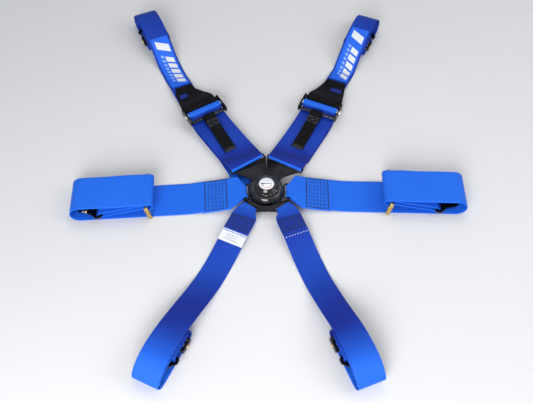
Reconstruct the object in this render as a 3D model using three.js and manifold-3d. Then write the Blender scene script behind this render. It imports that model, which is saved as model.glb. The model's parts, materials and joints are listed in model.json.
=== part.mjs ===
// Six-point racing harness, unbuckled from the car and laid out: a rotary quick-release buckle in the
// middle, two shoulder straps, two lap straps and two crotch straps, each rolled up round its hook.
// Units are millimetres. +Z is up, +Y runs from the buckle towards the shoulder straps, and the origin is
// the middle of the back pad's underside, which lies on the ground.
import * as THREE from "three";
import { mergeVertices } from "three/addons/utils/BufferGeometryUtils.js";
import Module from "manifold-3d";

const wasm = await Module();
wasm.setup();

// ---- Driving dimensions ----
const WIDE = 76; // webbing of the lap straps and lower shoulder straps, 3 inch
const NARROW = 50; // webbing of the crotch straps and upper shoulder straps, 2 inch
const WEB = 1.8; // webbing thickness
const GAP = 0.4; // air left between pieces that touch
const LAYER = WEB + GAP; // distance between the middles of two stacked layers
const GROUND = WEB / 2 + 0.1; // height of the middle of a layer that lies on the ground

const PAD_TOP = 7;
const BASE_BOTTOM = PAD_TOP + 0.3;
const BASE_TOP = BASE_BOTTOM + 4;
const TONGUE_BOTTOM = BASE_TOP + 0.4;
const TONGUE_THICK = 3;
const TONGUE_TOP = TONGUE_BOTTOM + TONGUE_THICK;
const TONGUE_MID = TONGUE_BOTTOM + TONGUE_THICK / 2;
const HOUSING_BOTTOM = TONGUE_TOP + 0.4;
const HOUSING_TOP = HOUSING_BOTTOM + 11;
const HOUSING_RADIUS = 34;
const KNOB_RADIUS = 26;
const KNOB_TOP = HOUSING_TOP + 11;
const LABEL_RADIUS = 14.6;
const MOUTH_WIDTH = 24; // width of a tongue mouth in the buckle
const NECK_WIDTH = 21; // width of a tongue where it enters the buckle
const TONGUE_TIP = 16.5; // distance of a tongue's tip from the buckle's middle

const TURN_REACH = 3.4; // radius of webbing's middle line where it turns round a flat bar
const EDGE_INSET = 1.5; // how far inside a bar's edge that turn is centred

const HOOK_LENGTH = 52;
const HOOK_HALF = 32;
const HOOK_THICK = 4;
const CROSSBAR = 5; // the hook's bar that the webbing turns round
const GATE_PIVOT = [31.6, 12.2];

// ---- Colours ----
const finish = (color, roughness, metalness = 0) =>
  new THREE.MeshStandardMaterial({ color, roughness, metalness });
const BLUE = finish(0x1c5ce6, 0.7);
const PATCH_BLUE = finish(0x0a6cf5, 0.6);
const BLACK_WEB = finish(0x17171a, 0.8);
const BLACK_PLASTIC = finish(0x0d0d0f, 0.3);
const BLACK_STEEL = finish(0x101013, 0.25, 0.8);
const ZINC = finish(0xc8a860, 0.35, 0.9);
const STEEL = finish(0xb8bbc0, 0.35, 0.9);
const WHITE = finish(0xf0f2f5, 0.5);
const RUBBER = finish(0x141416, 0.9);

// ---- Solids ----
function solidOf(geometry) {
  const bare = geometry.clone();
  bare.deleteAttribute("normal");
  bare.deleteAttribute("uv");
  const merged = mergeVertices(bare, 1e-4);
  return new wasm.Manifold(
    new wasm.Mesh({
      numProp: 3,
      vertProperties: merged.attributes.position.array,
      triVerts: merged.index.array,
    }),
  );
}

function geometryOf(solid) {
  const mesh = solid.getMesh();
  const geometry = new THREE.BufferGeometry();
  geometry.setAttribute("position", new THREE.BufferAttribute(new Float32Array(mesh.vertProperties), 3));
  geometry.setIndex(new THREE.BufferAttribute(new Uint32Array(mesh.triVerts), 1));
  return geometry;
}

const join = (...pieces) => geometryOf(pieces.map(solidOf).reduce((a, b) => a.add(b)));
const cut = (piece, ...tools) =>
  geometryOf(tools.map(solidOf).reduce((a, b) => a.subtract(b), solidOf(piece)));

// A box between two corners.
function block(low, high) {
  const size = high.map((value, i) => value - low[i]);
  const middle = high.map((value, i) => (value + low[i]) / 2);
  return new THREE.BoxGeometry(...size).translate(...middle);
}

// A round bar along Y.
function barAcross(radius, length, x = 0, z = 0, sides = 20) {
  return new THREE.CylinderGeometry(radius, radius, length, sides).translate(x, 0, z);
}

// A flat plate from an outline in X and Y, with holes, from height low up to high.
function plate(outline, holes, low, high) {
  const shape = new THREE.Shape(outline.map(([x, y]) => new THREE.Vector2(x, y)));
  shape.holes = holes.map((hole) => new THREE.Path(hole.map(([x, y]) => new THREE.Vector2(x, y))));
  return new THREE.ExtrudeGeometry(shape, { depth: high - low, bevelEnabled: false }).translate(0, 0, low);
}

const oblong = (x0, x1, half) => [[x0, -half], [x1, -half], [x1, half], [x0, half]];
const circle = (x, y, radius, count = 28) =>
  Array.from({ length: count }, (_, i) => {
    const angle = (i / count) * 2 * Math.PI;
    return [x + radius * Math.cos(angle), y + radius * Math.sin(angle)];
  });

// A solid of revolution about Z from [radius, height] points.
function turned(profile, sides = 48) {
  const points = profile.map(([r, z]) => new THREE.Vector2(r, z));
  return new THREE.LatheGeometry(points, sides).rotateX(Math.PI / 2);
}

// ---- Webbing: a line in the plane of a strap's length and height, thickened and given a width ----
const degrees = THREE.MathUtils.degToRad;

function arc(x, z, radius, from, to, steps = 7) {
  return Array.from({ length: steps + 1 }, (_, i) => {
    const angle = degrees(from + ((to - from) * i) / steps);
    return [x + radius * Math.cos(angle), z + radius * Math.sin(angle)];
  });
}

function smooth(points, steps) {
  const curve = new THREE.CatmullRomCurve3(points.map(([x, z]) => new THREE.Vector3(x, z, 0)));
  return curve.getSpacedPoints(steps).map((p) => [p.x, Math.max(p.y, GROUND)]);
}

function offset(line, distance) {
  return line.map(([x, z], i) => {
    const [ax, az] = line[Math.max(i - 1, 0)];
    const [bx, bz] = line[Math.min(i + 1, line.length - 1)];
    const length = Math.hypot(bx - ax, bz - az);
    return new THREE.Vector2(x - ((bz - az) / length) * distance, z + ((bx - ax) / length) * distance);
  });
}

function withoutDoubles(line) {
  return line.filter(([x, z], i) => i === 0 || Math.hypot(x - line[i - 1][0], z - line[i - 1][1]) > 0.05);
}

// Stands an extruded outline up: its own X stays along the strap, its Y becomes height.
function acrossStrap(shape, width) {
  return new THREE.ExtrudeGeometry(shape, { depth: width, bevelEnabled: false })
    .rotateX(Math.PI / 2)
    .translate(0, width / 2, 0);
}

function ribbon(line, width, thickness = WEB) {
  const clean = withoutDoubles(line);
  const outline = [...offset(clean, thickness / 2), ...offset(clean, -thickness / 2).reverse()];
  return acrossStrap(new THREE.Shape(outline), width);
}

// A closed loop of webbing round two bars, by the bars' middles.
function loopRibbon([ax, az], [bx, bz], radius, width) {
  const tilt = THREE.MathUtils.radToDeg(Math.atan2(bz - az, bx - ax));
  const ring = (r) =>
    [...arc(ax, az, r, tilt + 90, tilt + 270), ...arc(bx, bz, r, tilt - 90, tilt + 90)].map(
      ([x, z]) => new THREE.Vector2(x, z),
    );
  const shape = new THREE.Shape(ring(radius + WEB / 2));
  shape.holes = [new THREE.Path(ring(radius - WEB / 2))];
  return acrossStrap(shape, width);
}

// Narrows a strap towards one end, where its half-width is halfTip at tip. The taper may start at a different
// distance, or end at a different half-width, along the right edge of the strap's direction.
function tapered(strap, full, tip, halfFull, halfTip, fullRight = full, halfTipRight = halfTip) {
  const corner = (from, sign, halfEnd) => {
    const away = tip + (tip - from) * 2;
    const halfAway = halfEnd - (halfFull - halfEnd) * 2;
    const outside = [[from, sign * halfFull], [away, sign * halfAway], [away, sign * 90], [from, sign * 90]];
    return plate(outside, [], -20, 90);
  };
  return cut(strap, corner(full, 1, halfTip), corner(fullRight, -1, halfTipRight));
}

// Slides a strip sideways, by fromAside at from up to toAside at to.
function slanted(strap, from, fromAside, to, toAside) {
  const position = strap.attributes.position;
  for (let i = 0; i < position.count; i++) {
    const share = (position.getX(i) - from) / (to - from);
    position.setY(i, position.getY(i) + fromAside + (toAside - fromAside) * Math.min(share, 1));
  }
  return strap;
}

// ---- Plan: where a strap runs over the ground ----
// A strap leaves from start and turns through the headings listed as [distance, heading in degrees].
class Plan {
  constructor(start, headings) {
    this.start = start;
    this.headings = headings;
  }

  heading(s) {
    const list = this.headings;
    if (s <= list[0][0]) return degrees(list[0][1]);
    for (let i = 1; i < list.length; i++) {
      const [s0, a0] = list[i - 1];
      const [s1, a1] = list[i];
      if (s <= s1) return degrees(a0 + ((a1 - a0) * (s - s0)) / (s1 - s0));
    }
    return degrees(list.at(-1)[1]);
  }

  point(s) {
    const steps = Math.max(1, Math.ceil(Math.abs(s) / 4));
    let [x, y] = this.start;
    for (let i = 0; i < steps; i++) {
      const angle = this.heading(((i + 0.5) * s) / steps);
      x += (Math.cos(angle) * s) / steps;
      y += (Math.sin(angle) * s) / steps;
    }
    return [x, y];
  }

  // Bends a strap's geometry along the plan.
  bend(geometry) {
    const bent = geometry.clone();
    const position = bent.attributes.position;
    for (let i = 0; i < position.count; i++) {
      const s = position.getX(i);
      const across = position.getY(i);
      const angle = this.heading(s);
      const [x, y] = this.point(s);
      position.setXY(i, x - Math.sin(angle) * across, y + Math.cos(angle) * across);
    }
    return bent;
  }

  // Sets a rigid piece at a distance along the plan, its own X outwards, pitched up by pitch degrees.
  place(mesh, s, z = 0, pitch = 0) {
    const [x, y] = this.point(s);
    mesh.rotation.set(0, -degrees(pitch), this.heading(s), "ZYX");
    mesh.position.set(x, y, z);
    return mesh;
  }
}

const harness = new THREE.Group();

function add(name, geometry, material) {
  const mesh = new THREE.Mesh(geometry, material);
  mesh.name = name;
  harness.add(mesh);
  return mesh;
}

// ---- Headings of the five tongues, in degrees from +X ----
const SHOULDER = {
  left: { fold: [-38.5, 68.5], lower: 124.5, adjuster: 122, connector: 128, upper: 115, end: 614 },
  right: { fold: [36.5, 68.5], lower: 61.2, adjuster: 65.8, connector: 65.8, upper: 65.6, end: 576 },
};
const LAP = {
  left: { heading: 184, end: 381 },
  right: { heading: -1.5, end: 389 },
};
const CROTCH = {
  left: { loop: [-30.5, -37.5], at_tongue: 234, crossing: 255, away: 245, end: 396 },
  right: { loop: [30.5, -37.5], at_tongue: 306, crossing: 281, away: 291.2, end: 388 },
};
const CROTCH_LOOP_HALF = 13.5;
const CROTCH_HEADING = 270;

// ---- Buckle ----
function buckle() {
  const rim = HOUSING_RADIUS;
  const pad = turned([[0, 0], [rim - 3, 0], [rim, 3], [rim, PAD_TOP], [0, PAD_TOP]]);
  add("back_pad", pad, RUBBER);

  const mouthHeadings = [
    SHOULDER.left.lower, SHOULDER.right.lower, LAP.left.heading, LAP.right.heading, CROTCH_HEADING,
  ];
  const mouth = (heading) =>
    block([-2, -MOUTH_WIDTH / 2, BASE_TOP], [rim + 5, MOUTH_WIDTH / 2, 60]).rotateZ(degrees(heading));
  const wall = turned([[0, BASE_BOTTOM], [rim, BASE_BOTTOM], [rim, TONGUE_TOP], [0, TONGUE_TOP]]);
  const middle = block([-14, -14, BASE_TOP], [14, 14, 60]);
  add("base_plate", cut(wall, middle, ...mouthHeadings.map(mouth)), BLACK_STEEL);

  const housing = turned([
    [12, HOUSING_TOP - 2.5], [27, HOUSING_TOP - 2.5], [29, HOUSING_TOP - 5], [29, HOUSING_BOTTOM],
    [rim, HOUSING_BOTTOM], [rim, HOUSING_BOTTOM + 4], [rim - 2, HOUSING_BOTTOM + 8], [rim - 5, HOUSING_TOP],
    [12, HOUSING_TOP], [12, HOUSING_TOP - 2.5],
  ]);
  add("housing", housing, BLACK_PLASTIC);

  const foot = BASE_TOP + 0.3;
  const post = turned([
    [0, foot], [9, foot], [9, foot + 0.9], [3.5, foot + 0.9], [3.5, HOUSING_TOP + 4], [0, HOUSING_TOP + 4],
  ], 24);
  add("centre_post", post, STEEL);

  latchStar(mouthHeadings);

  const camLow = HOUSING_BOTTOM + 3.6;
  const camHigh = camLow + 2;
  const cam = turned([[10.6, camLow], [22, camLow], [22, camHigh], [10.6, camHigh], [10.6, camLow]], 36);
  const notches = mouthHeadings.map((heading) =>
    block([19.5, -3, camLow - 1], [24, 3, camLow + 3]).rotateZ(degrees(heading + 36)),
  );
  add("cam_ring", cut(cam, ...notches), STEEL);

  const spring = new THREE.ExtrudeGeometry(
    new THREE.Shape(circle(0, 0, 0.7, 6).map(([x, y]) => new THREE.Vector2(x, y))),
    { steps: 42, bevelEnabled: false, extrudePath: new Coil(6, camLow - 0.85, 1.65, 2.6) },
  );
  add("return_spring", spring, STEEL);

  const hub = HOUSING_TOP + 0.4;
  const knob = turned([
    [4.2, camLow + 4.5], [10, camLow + 4.5], [10, hub], [KNOB_RADIUS, hub], [KNOB_RADIUS, hub + 3.4],
    [KNOB_RADIUS - 2.5, hub + 5], [20, hub + 6.4], [17.6, KNOB_TOP - 1.2], [16.6, KNOB_TOP],
    [LABEL_RADIUS + 0.5, KNOB_TOP], [LABEL_RADIUS + 0.5, KNOB_TOP - 1.6], [4.2, KNOB_TOP - 1.6],
    [4.2, camLow + 4.5],
  ]);
  const grips = Array.from({ length: 12 }, (_, i) =>
    new THREE.CylinderGeometry(2.2, 2.2, 20, 12)
      .rotateX(Math.PI / 2)
      .translate(KNOB_RADIUS + 1, 0, hub + 4)
      .rotateZ(degrees(15 + i * 30)),
  );
  add("knob", cut(knob, ...grips), BLACK_PLASTIC);

  const label = new THREE.CylinderGeometry(LABEL_RADIUS, LABEL_RADIUS, 1, 48).rotateX(Math.PI / 2);
  add("knob_label", label.translate(0, 0, KNOB_TOP - 0.8), WHITE);
}

// The coil of the knob's return spring.
class Coil extends THREE.Curve {
  constructor(radius, bottom, rise, turns) {
    super();
    Object.assign(this, { radius, bottom, rise, turns });
  }

  getPoint(t) {
    const angle = t * this.turns * 2 * Math.PI;
    const height = this.bottom + this.rise * this.turns * t;
    return new THREE.Vector3(this.radius * Math.cos(angle), this.radius * Math.sin(angle), height);
  }
}

// Five spring fingers on one hub, each with a tooth that stands in the window of a tongue.
function latchStar(headings) {
  const low = HOUSING_BOTTOM + 0.6;
  const high = low + 1.2;
  const hub = turned([[4.4, low], [12, low], [12, high], [4.4, high], [4.4, low]], 24);
  const finger = (heading) => block([9, -4, low], [25, 4, high]).rotateZ(degrees(heading));
  const tip = TONGUE_BOTTOM + 0.5;
  const tooth = (heading) => block([21, -3.5, tip], [24.6, 3.5, high]).rotateZ(degrees(heading));
  add("latch_star", join(hub, ...headings.map(finger), ...headings.map(tooth)), STEEL);
}

// ---- Tongues ----
const WINDOW = oblong(20, 26, 4.6); // the tongue's window for the latch tooth

// A tongue along +X with a slot for webbing, its bar outside the slot.
function tongue({ slot, bar, half, margin, shoulder }) {
  const neck = NECK_WIDTH / 2;
  const side = half + margin;
  const outline = [
    [TONGUE_TIP, -neck + 3], [TONGUE_TIP + 3, -neck], [HOUSING_RADIUS - 2, -neck], [shoulder, -side],
    [slot + bar + 3, -side], [slot + bar + 5, -side + 3], [slot + bar + 5, side - 3], [slot + bar + 3, side],
    [shoulder, side], [HOUSING_RADIUS - 2, neck], [TONGUE_TIP + 3, neck], [TONGUE_TIP, neck - 3],
  ];
  return plate(outline, [WINDOW, oblong(slot, slot + 5, half)], TONGUE_BOTTOM, TONGUE_TOP);
}

// A shoulder tongue: a fan as wide as the webbing, entering the buckle along its middle.
function shoulderTongue(side) {
  const { fold, lower } = SHOULDER[side];
  const angle = degrees(lower);
  const along = fold[0] * Math.cos(angle) + fold[1] * Math.sin(angle);
  const aside = -fold[0] * Math.sin(angle) + fold[1] * Math.cos(angle);
  const half = WIDE / 2 + 0.8;
  const edge = half + 2.6;
  const neck = NECK_WIDTH / 2;
  // The inner shoulder meets the other tongue's beside the housing; the outer one narrows to the neck.
  const inward = side === "left" ? 1 : -1;
  const [x, y] = [3 * inward, HOUSING_RADIUS + 1.2];
  const inner = [x * Math.cos(angle) + y * Math.sin(angle), y * Math.cos(angle) - x * Math.sin(angle)];
  const outer = [HOUSING_RADIUS + 13, 13 * inward];
  const [low, high] = side === "left" ? [inner, outer] : [outer, inner];
  const waist = (sign) => (sign === inward ? [[along - 6, aside + sign * (edge - 7)]] : []);
  const outline = [
    [TONGUE_TIP, -neck + 3], [TONGUE_TIP + 3, -neck], [HOUSING_RADIUS + 1, -neck], low, ...waist(-1),
    [along - 5, aside - edge], [along + 6, aside - edge], [along + 8.5, aside - edge + 2.5],
    [along + 8.5, aside + edge - 2.5], [along + 6, aside + edge], [along - 5, aside + edge],
    ...waist(1), high, [HOUSING_RADIUS + 1, neck], [TONGUE_TIP + 3, neck], [TONGUE_TIP, neck - 3],
  ];
  const slot = oblong(along - 3.5, along + 2, half).map(([sx, sy]) => [sx, sy + aside]);
  const body = plate(outline, [WINDOW, slot], TONGUE_BOTTOM, TONGUE_TOP).rotateZ(angle);
  const [from, to] = [-0.4 * inward, 60 * inward].sort((a, b) => a - b);
  return cut(body, block([from, 0, 0], [to, 140, 40]));
}

// The crotch tongue carries both crotch straps on two slanted bars.
function crotchTongue() {
  const neck = NECK_WIDTH / 2;
  const slotOf = (side) => {
    const { loop, at_tongue } = CROTCH[side];
    const angle = degrees(at_tongue);
    return ([out, along]) => [
      loop[0] + out * Math.cos(angle) - along * Math.sin(angle),
      loop[1] + out * Math.sin(angle) + along * Math.cos(angle),
    ];
  };
  const toRight = slotOf("right");
  const right = [
    [neck - 3, -TONGUE_TIP], [neck, -TONGUE_TIP - 3], [neck, -HOUSING_RADIUS], toRight([-6.5, 16.5]),
    toRight([-3, 19]), toRight([8, 18]), toRight([8, -10]), [20, -50], [18, -51],
  ];
  const left = right.map(([x, y]) => [-x, y]).reverse();
  const slots = ["left", "right"].map((side) => oblong(-3, 2.2, CROTCH_LOOP_HALF + 1.5).map(slotOf(side)));
  const window = WINDOW.map(([x, y]) => [y, -x]);
  return plate([...right, ...left], [window, ...slots], TONGUE_BOTTOM, TONGUE_TOP);
}

// ---- Hardware shared by several straps ----
// A frame of two cheeks and two crossbars with a round bar through the cheeks. X is along the strap and
// the round bar's middle is the origin.
function frame({ inner, cheek, height, low, high, radius, crossbar, upper = crossbar, ear = 0 }) {
  const cheeks = [-1, 1].map((sign) => {
    const near = sign * inner;
    const far = sign * (inner + cheek);
    const [inside, outside] = [Math.min(near, far), Math.max(near, far)];
    return block([low - ear, inside, -height / 2], [high + ear, outside, height / 2]);
  });
  const bars = [
    block([low, -inner - 1, -1.75], [low + crossbar, inner + 1, 1.75]),
    block([high - upper, -inner - 1, -1.75], [high, inner + 1, 1.75]),
  ];
  return cut(join(...cheeks, ...bars), barAcross(radius + 0.3, 2 * (inner + cheek) + 4));
}

const SLIDE = { inner: 26.5, cheek: 5, height: 9, low: -13.5, high: 13.5, radius: 3, crossbar: 5 };
const SHOULDER_FRAME = {
  inner: 40, cheek: 3.5, height: 15, low: -23.5, high: 22, radius: 5.5, crossbar: 6.4, upper: 7,
};
const LAP_FRAME = {
  inner: 40, cheek: 3.5, height: 8, low: -15.5, high: 15.5, radius: 3.6, crossbar: 4.5, ear: 2,
};
const barFor = (size, overhang) => barAcross(size.radius, 2 * (size.inner + size.cheek + overhang));

function hookPlate() {
  const nose = arc(34, 0, 17, -75, 75, 14);
  const outline = [
    [0, -HOOK_HALF + 4], [4, -HOOK_HALF], [12, -HOOK_HALF], [22, -21], ...nose, [22, 21], [12, HOOK_HALF],
    [4, HOOK_HALF], [0, HOOK_HALF - 4],
  ];
  const holes = [oblong(CROSSBAR, CROSSBAR + 6.5, 26.5), circle(34, 0, 9)];
  const body = plate(outline, holes, -HOOK_THICK / 2, HOOK_THICK / 2);
  return cut(body, block([29, 4, -5], [41, 24, 5]));
}

function hookGate() {
  const [x, y] = GATE_PIVOT;
  const near = circle(x, y, 2.2, 16);
  const far = circle(x + 6.8, y, 2.2, 16);
  const arm = plate([...near.slice(4, 13), ...far.slice(12), ...far.slice(0, 5)], [], -1.6, 1.6);
  const disc = (radius, thick, z) =>
    new THREE.CylinderGeometry(radius, radius, thick, 16).rotateX(Math.PI / 2).translate(x, y, z);
  const head = HOOK_THICK / 2 + 0.6;
  return join(arm, disc(1.6, 2 * head, 0), disc(3.6, 0.6, head), disc(3.6, 0.6, -head));
}

function hook(name, plan, s, z, aside = 0) {
  const pieces = [["hook", hookPlate(), BLACK_STEEL], ["hook_gate", hookGate(), ZINC]];
  for (const [suffix, shape, material] of pieces) {
    plan.place(add(`${name}_${suffix}`, shape.translate(-CROSSBAR / 2, aside, 0), material), s, z);
  }
}

// ---- The rolled end of a 2 inch strap ----
// Distances are from the roll's outer end. The strap goes twice round the roll, ever closer in, and ends in
// the slide and the hook, which lie in the middle of it.
const SLIDE_AT = -86;
const SLIDE_HEIGHT = 16;
const HOOK_AT = SLIDE_AT + 26;
const HOOK_HEIGHT = SLIDE_HEIGHT + 1;

function rolledEnd(end, leadIn) {
  const at = (points) => points.map(([x, z]) => [end + x, z]);
  const turnRadius = SLIDE.radius + GAP + WEB / 2 + 0.1;
  const over = [
    [-96, 41.5], [-60, 47.5], [-30, 45], [-9, 33], [-0.9, 18], [-7, 5.4], [-20, 1.4], [-34, GROUND],
  ];
  const inside = [
    [-60, GROUND], [-88, GROUND], [-104, 3.2], [-112, 11.5], [-109, 23], [-96, 30.5], [-70, 34.5], [-40, 36],
    [-18, 31.5], [-6.8, 20], [-10, 9], [-20, 4.4], [-40, 3.6], [-84, 3.6], [-97, 4.4], [-104, 6.4],
    [-107, 9.6], [-103.5, 11.9], [-96.5, 11.2], [-92.5, 12.2],
  ];
  return [
    ...smooth([...leadIn, ...at(over)], 34),
    ...smooth(at(inside), 64),
    ...arc(end + SLIDE_AT, SLIDE_HEIGHT, turnRadius, 192, -12, 10),
    ...smooth(at([[-79.9, 12.1], [-75.5, 11.1], [-69.5, 11.4], [-64.5, 12.6]]), 4),
    ...arc(end + HOOK_AT + CROSSBAR / 2 - EDGE_INSET, HOOK_HEIGHT, TURN_REACH + 0.5, -90, 90, 8),
    ...smooth(at([[-66.5, 21.4], [-74.5, 23.4], [-88.5, 24.2], [-102.5, 23.8]]), 5),
  ];
}

function rolledHardware(name, plan, end) {
  plan.place(add(`${name}_slide_frame`, frame(SLIDE), BLACK_STEEL), end + SLIDE_AT, SLIDE_HEIGHT);
  plan.place(add(`${name}_slide_bar`, barFor(SLIDE, 1.5), ZINC), end + SLIDE_AT, SLIDE_HEIGHT);
  hook(name, plan, end + HOOK_AT, HOOK_HEIGHT);
}

// ---- Shoulder straps ----
const ADJUSTER_AT = 171; // from the fold at the tongue to the adjuster's roller
const ADJUSTER_HEIGHT = 24;
const UPPER_FROM = ADJUSTER_AT + 82;
const FOLD = 2 + EDGE_INSET; // centre of the webbing's turn round the tongue's bar

// The left strap's loose tail lies askew, so that it shows beside the tongue, and is cut off in a point.
function looseTail(strap) {
  const position = strap.attributes.position;
  for (let i = 0; i < position.count; i++) {
    if (position.getZ(i) > 6) continue;
    const share = Math.min(Math.max((50 - position.getX(i)) / 50, 0), 1);
    position.setY(i, position.getY(i) + 5 * share);
  }
  const cutOff = [[-90, 90], [-90, -90], [2, -90], [2, -38], [-40, 22.6], [-16, 50], [-16, 90]];
  return cut(strap, plate(cutOff, [], -1, 8));
}

function shoulderStrap(side) {
  const { fold, lower, adjuster, connector, upper, end } = SHOULDER[side];
  const name = `${side}_shoulder`;
  add(`${name}_tongue`, shoulderTongue(side), BLACK_STEEL);

  const plan = new Plan(fold, [
    [125, lower], [148, adjuster], [200, adjuster], [214, connector], [244, connector], [254, upper],
  ]);
  const roller = ADJUSTER_AT;
  const turnRadius = SHOULDER_FRAME.radius + GAP + WEB / 2 + 0.1;
  const tail = side === "left" ? -43 : 32;
  const line = [
    ...smooth([[tail, 3.4], [40, 3.2], [100, 3], [140, 4], [158, 7], [170, 11.5], [176.4, 17.5]], 12),
    ...arc(roller, ADJUSTER_HEIGHT, turnRadius, -10, 190, 10),
    ...smooth([[162.3, 20], [157, 17.2], [146, 16.4], [120, 15], [80, 13.4], [40, 14.4], [14, 16.8]], 14),
    ...arc(FOLD, TONGUE_MID, TURN_REACH, 90, 270, 8),
    ...smooth([[12, 9.8], [30, 10.8], [50, 11.5], [75, 11.1]], 5),
  ];
  const strap = ribbon(line, WIDE);
  add(`${name}_lower_webbing`, plan.bend(side === "left" ? looseTail(strap) : strap), BLUE);

  plan.place(add(`${name}_adjuster_frame`, frame(SHOULDER_FRAME), BLACK_STEEL), roller, ADJUSTER_HEIGHT);
  plan.place(add(`${name}_adjuster_roller`, barFor(SHOULDER_FRAME, 3), STEEL), roller, ADJUSTER_HEIGHT);

  const lowerBar = roller + SHOULDER_FRAME.low + SHOULDER_FRAME.crossbar / 2;
  const tab = [
    ...smooth([[48, 16.8], [70, 17.4], [100, 19], [128, 24], [141, 28.4]], 8),
    ...arc(lowerBar, ADJUSTER_HEIGHT, 4.8, 90, -90, 7),
    ...smooth([[lowerBar - 4, 19.4], [lowerBar - 10, 19.2], [lowerBar - 18, 18.6]], 3),
  ];
  const [tabEnd, tabTop] = side === "left" ? [9, 0] : [-3, 1];
  const tabStrip = slanted(ribbon(tab, 26, 1.4), 48, tabEnd, lowerBar, tabTop);
  add(`${name}_release_tab`, plan.bend(tabStrip), BLACK_WEB);

  const looped = [
    ...smooth([[268, 4.4], [254, 4.9], [232, 6.5], [212, 9.6], [200, 12], [190, 13.3]], 10),
    ...arc(186.7, 17, 3.7, 262, 180, 4),
    ...arc(186.7, ADJUSTER_HEIGHT, 3.7, 180, 95, 4),
    ...smooth([[190, 27.7], [197, 27.4], [206, 24.4], [225, 16.2], [250, 11], [274, 9.8]], 14),
  ];
  // The left connector is narrower along its outer edge, where the upper webbing shows beside it.
  const outerHalf = side === "left" ? NARROW / 2 - 4 : NARROW / 2;
  const connected = tapered(ribbon(looped, WIDE - 2), 205, 258, WIDE / 2 - 1, outerHalf, 205, NARROW / 2);
  add(`${name}_connector_webbing`, plan.bend(connected), BLACK_WEB);

  const upperPlan = new Plan(plan.point(UPPER_FROM), [[0, upper]]);
  const rollEnd = end - 79 - UPPER_FROM;
  const sewnIn = [[-22, 10.2], [-11, 8.9], [0, 7.8]];
  const leadIn = [...sewnIn, [26, 7], [48, 3.4], [68, GROUND], [rollEnd - 168, 6], [rollEnd - 132, 26]];
  const upperLine = rolledEnd(rollEnd, leadIn);
  add(`${name}_upper_webbing`, upperPlan.bend(ribbon(upperLine, NARROW)), BLUE);

  const patchThick = 1;
  const along = upperLine.filter(([s], i) => s > 27 && s < 172 && i < 34);
  const raised = offset(along, WEB / 2 + GAP + patchThick / 2).map((p) => [p.x, p.y]);
  add(`${name}_patch`, upperPlan.bend(ribbon(raised, NARROW - 8, patchThick)), PATCH_BLUE);

  rolledHardware(name, upperPlan, rollEnd);
}

// ---- Lap straps ----
const LAP_SLOT = 36.5;
const LAP_LOOP_HALF = 14.5;

function lapStrap(side) {
  const { heading, end } = LAP[side];
  const name = `${side}_lap`;
  const plan = new Plan([0, 0], [[0, heading]]);
  const size = { slot: LAP_SLOT, bar: 6, half: LAP_LOOP_HALF + 1.5, margin: 3, shoulder: HOUSING_RADIUS + 1 };
  add(`${name}_tongue`, plan.bend(tongue(size)), BLACK_STEEL);

  const turn = LAP_SLOT + 5 + EDGE_INSET;
  const at = (points) => points.map(([x, z]) => [end + x, z]);
  const wrap = LAP_FRAME.radius + GAP + WEB / 2 + 0.1;
  const bar = end + LAP_BAR[0];
  const run = [[60, 14.6], [80, 11.2], [100, 7.8], [128, 4.6], [150, 1.6], [180, GROUND]];
  const line = [
    ...smooth([[128, 2.1], [100, 5.2], [80, 8.6], [60, 11], [turn + 3, TONGUE_MID - TURN_REACH]], 8),
    ...arc(turn, TONGUE_MID, TURN_REACH, 270, 90, 8),
    ...smooth([[turn + 3, TONGUE_MID + TURN_REACH], ...run, ...at([[-19, GROUND]])], 20),
    ...arc(end - 19, GROUND + 18, 18, -90, 90, 12),
    ...smooth(at([[-30, 37.4], [-70, 38.2], [-120, 39], [-146, 38.6]]), 12),
    ...arc(bar - 2.5, 30.8, 7.8, 95, 262, 10),
    ...arc(bar, LAP_BAR[1], wrap, 78, -80, 10),
    ...smooth(at([[-153, 12.4], [-157, 11.6]]), 2),
  ];
  const [leftFull, rightFull] = side === "left" ? [72, 56] : [56, 70];
  const webbing = tapered(ribbon(line, WIDE), leftFull, turn, WIDE / 2, LAP_LOOP_HALF, rightFull);
  add(`${name}_webbing`, plan.bend(webbing), BLUE);

  plan.place(add(`${name}_adjuster_frame`, frame(LAP_FRAME), ZINC), bar, LAP_BAR[1], LAP_PITCH);
  plan.place(add(`${name}_adjuster_bar`, barFor(LAP_FRAME, 1.5), ZINC), bar, LAP_BAR[1], LAP_PITCH);

  const reach = LAP_FRAME.high - LAP_FRAME.crossbar / 2;
  const pitch = degrees(LAP_PITCH);
  const upperBar = [bar + 0.7 + reach * Math.cos(pitch), LAP_BAR[1] + reach * Math.sin(pitch)];
  const hookBar = [end + LAP_HOOK[0], LAP_HOOK[1]];
  const forward = side === "left" ? 12 : -12;
  const strapLoop = loopRibbon(upperBar, hookBar, 4.7, NARROW).translate(0, forward, 0);
  add(`${name}_hook_loop`, plan.bend(strapLoop), BLUE);
  hook(name, plan, hookBar[0], hookBar[1], forward);
}

const LAP_BAR = [-150, 18];
const LAP_PITCH = 80;
const LAP_HOOK = [-58, 12];

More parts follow.
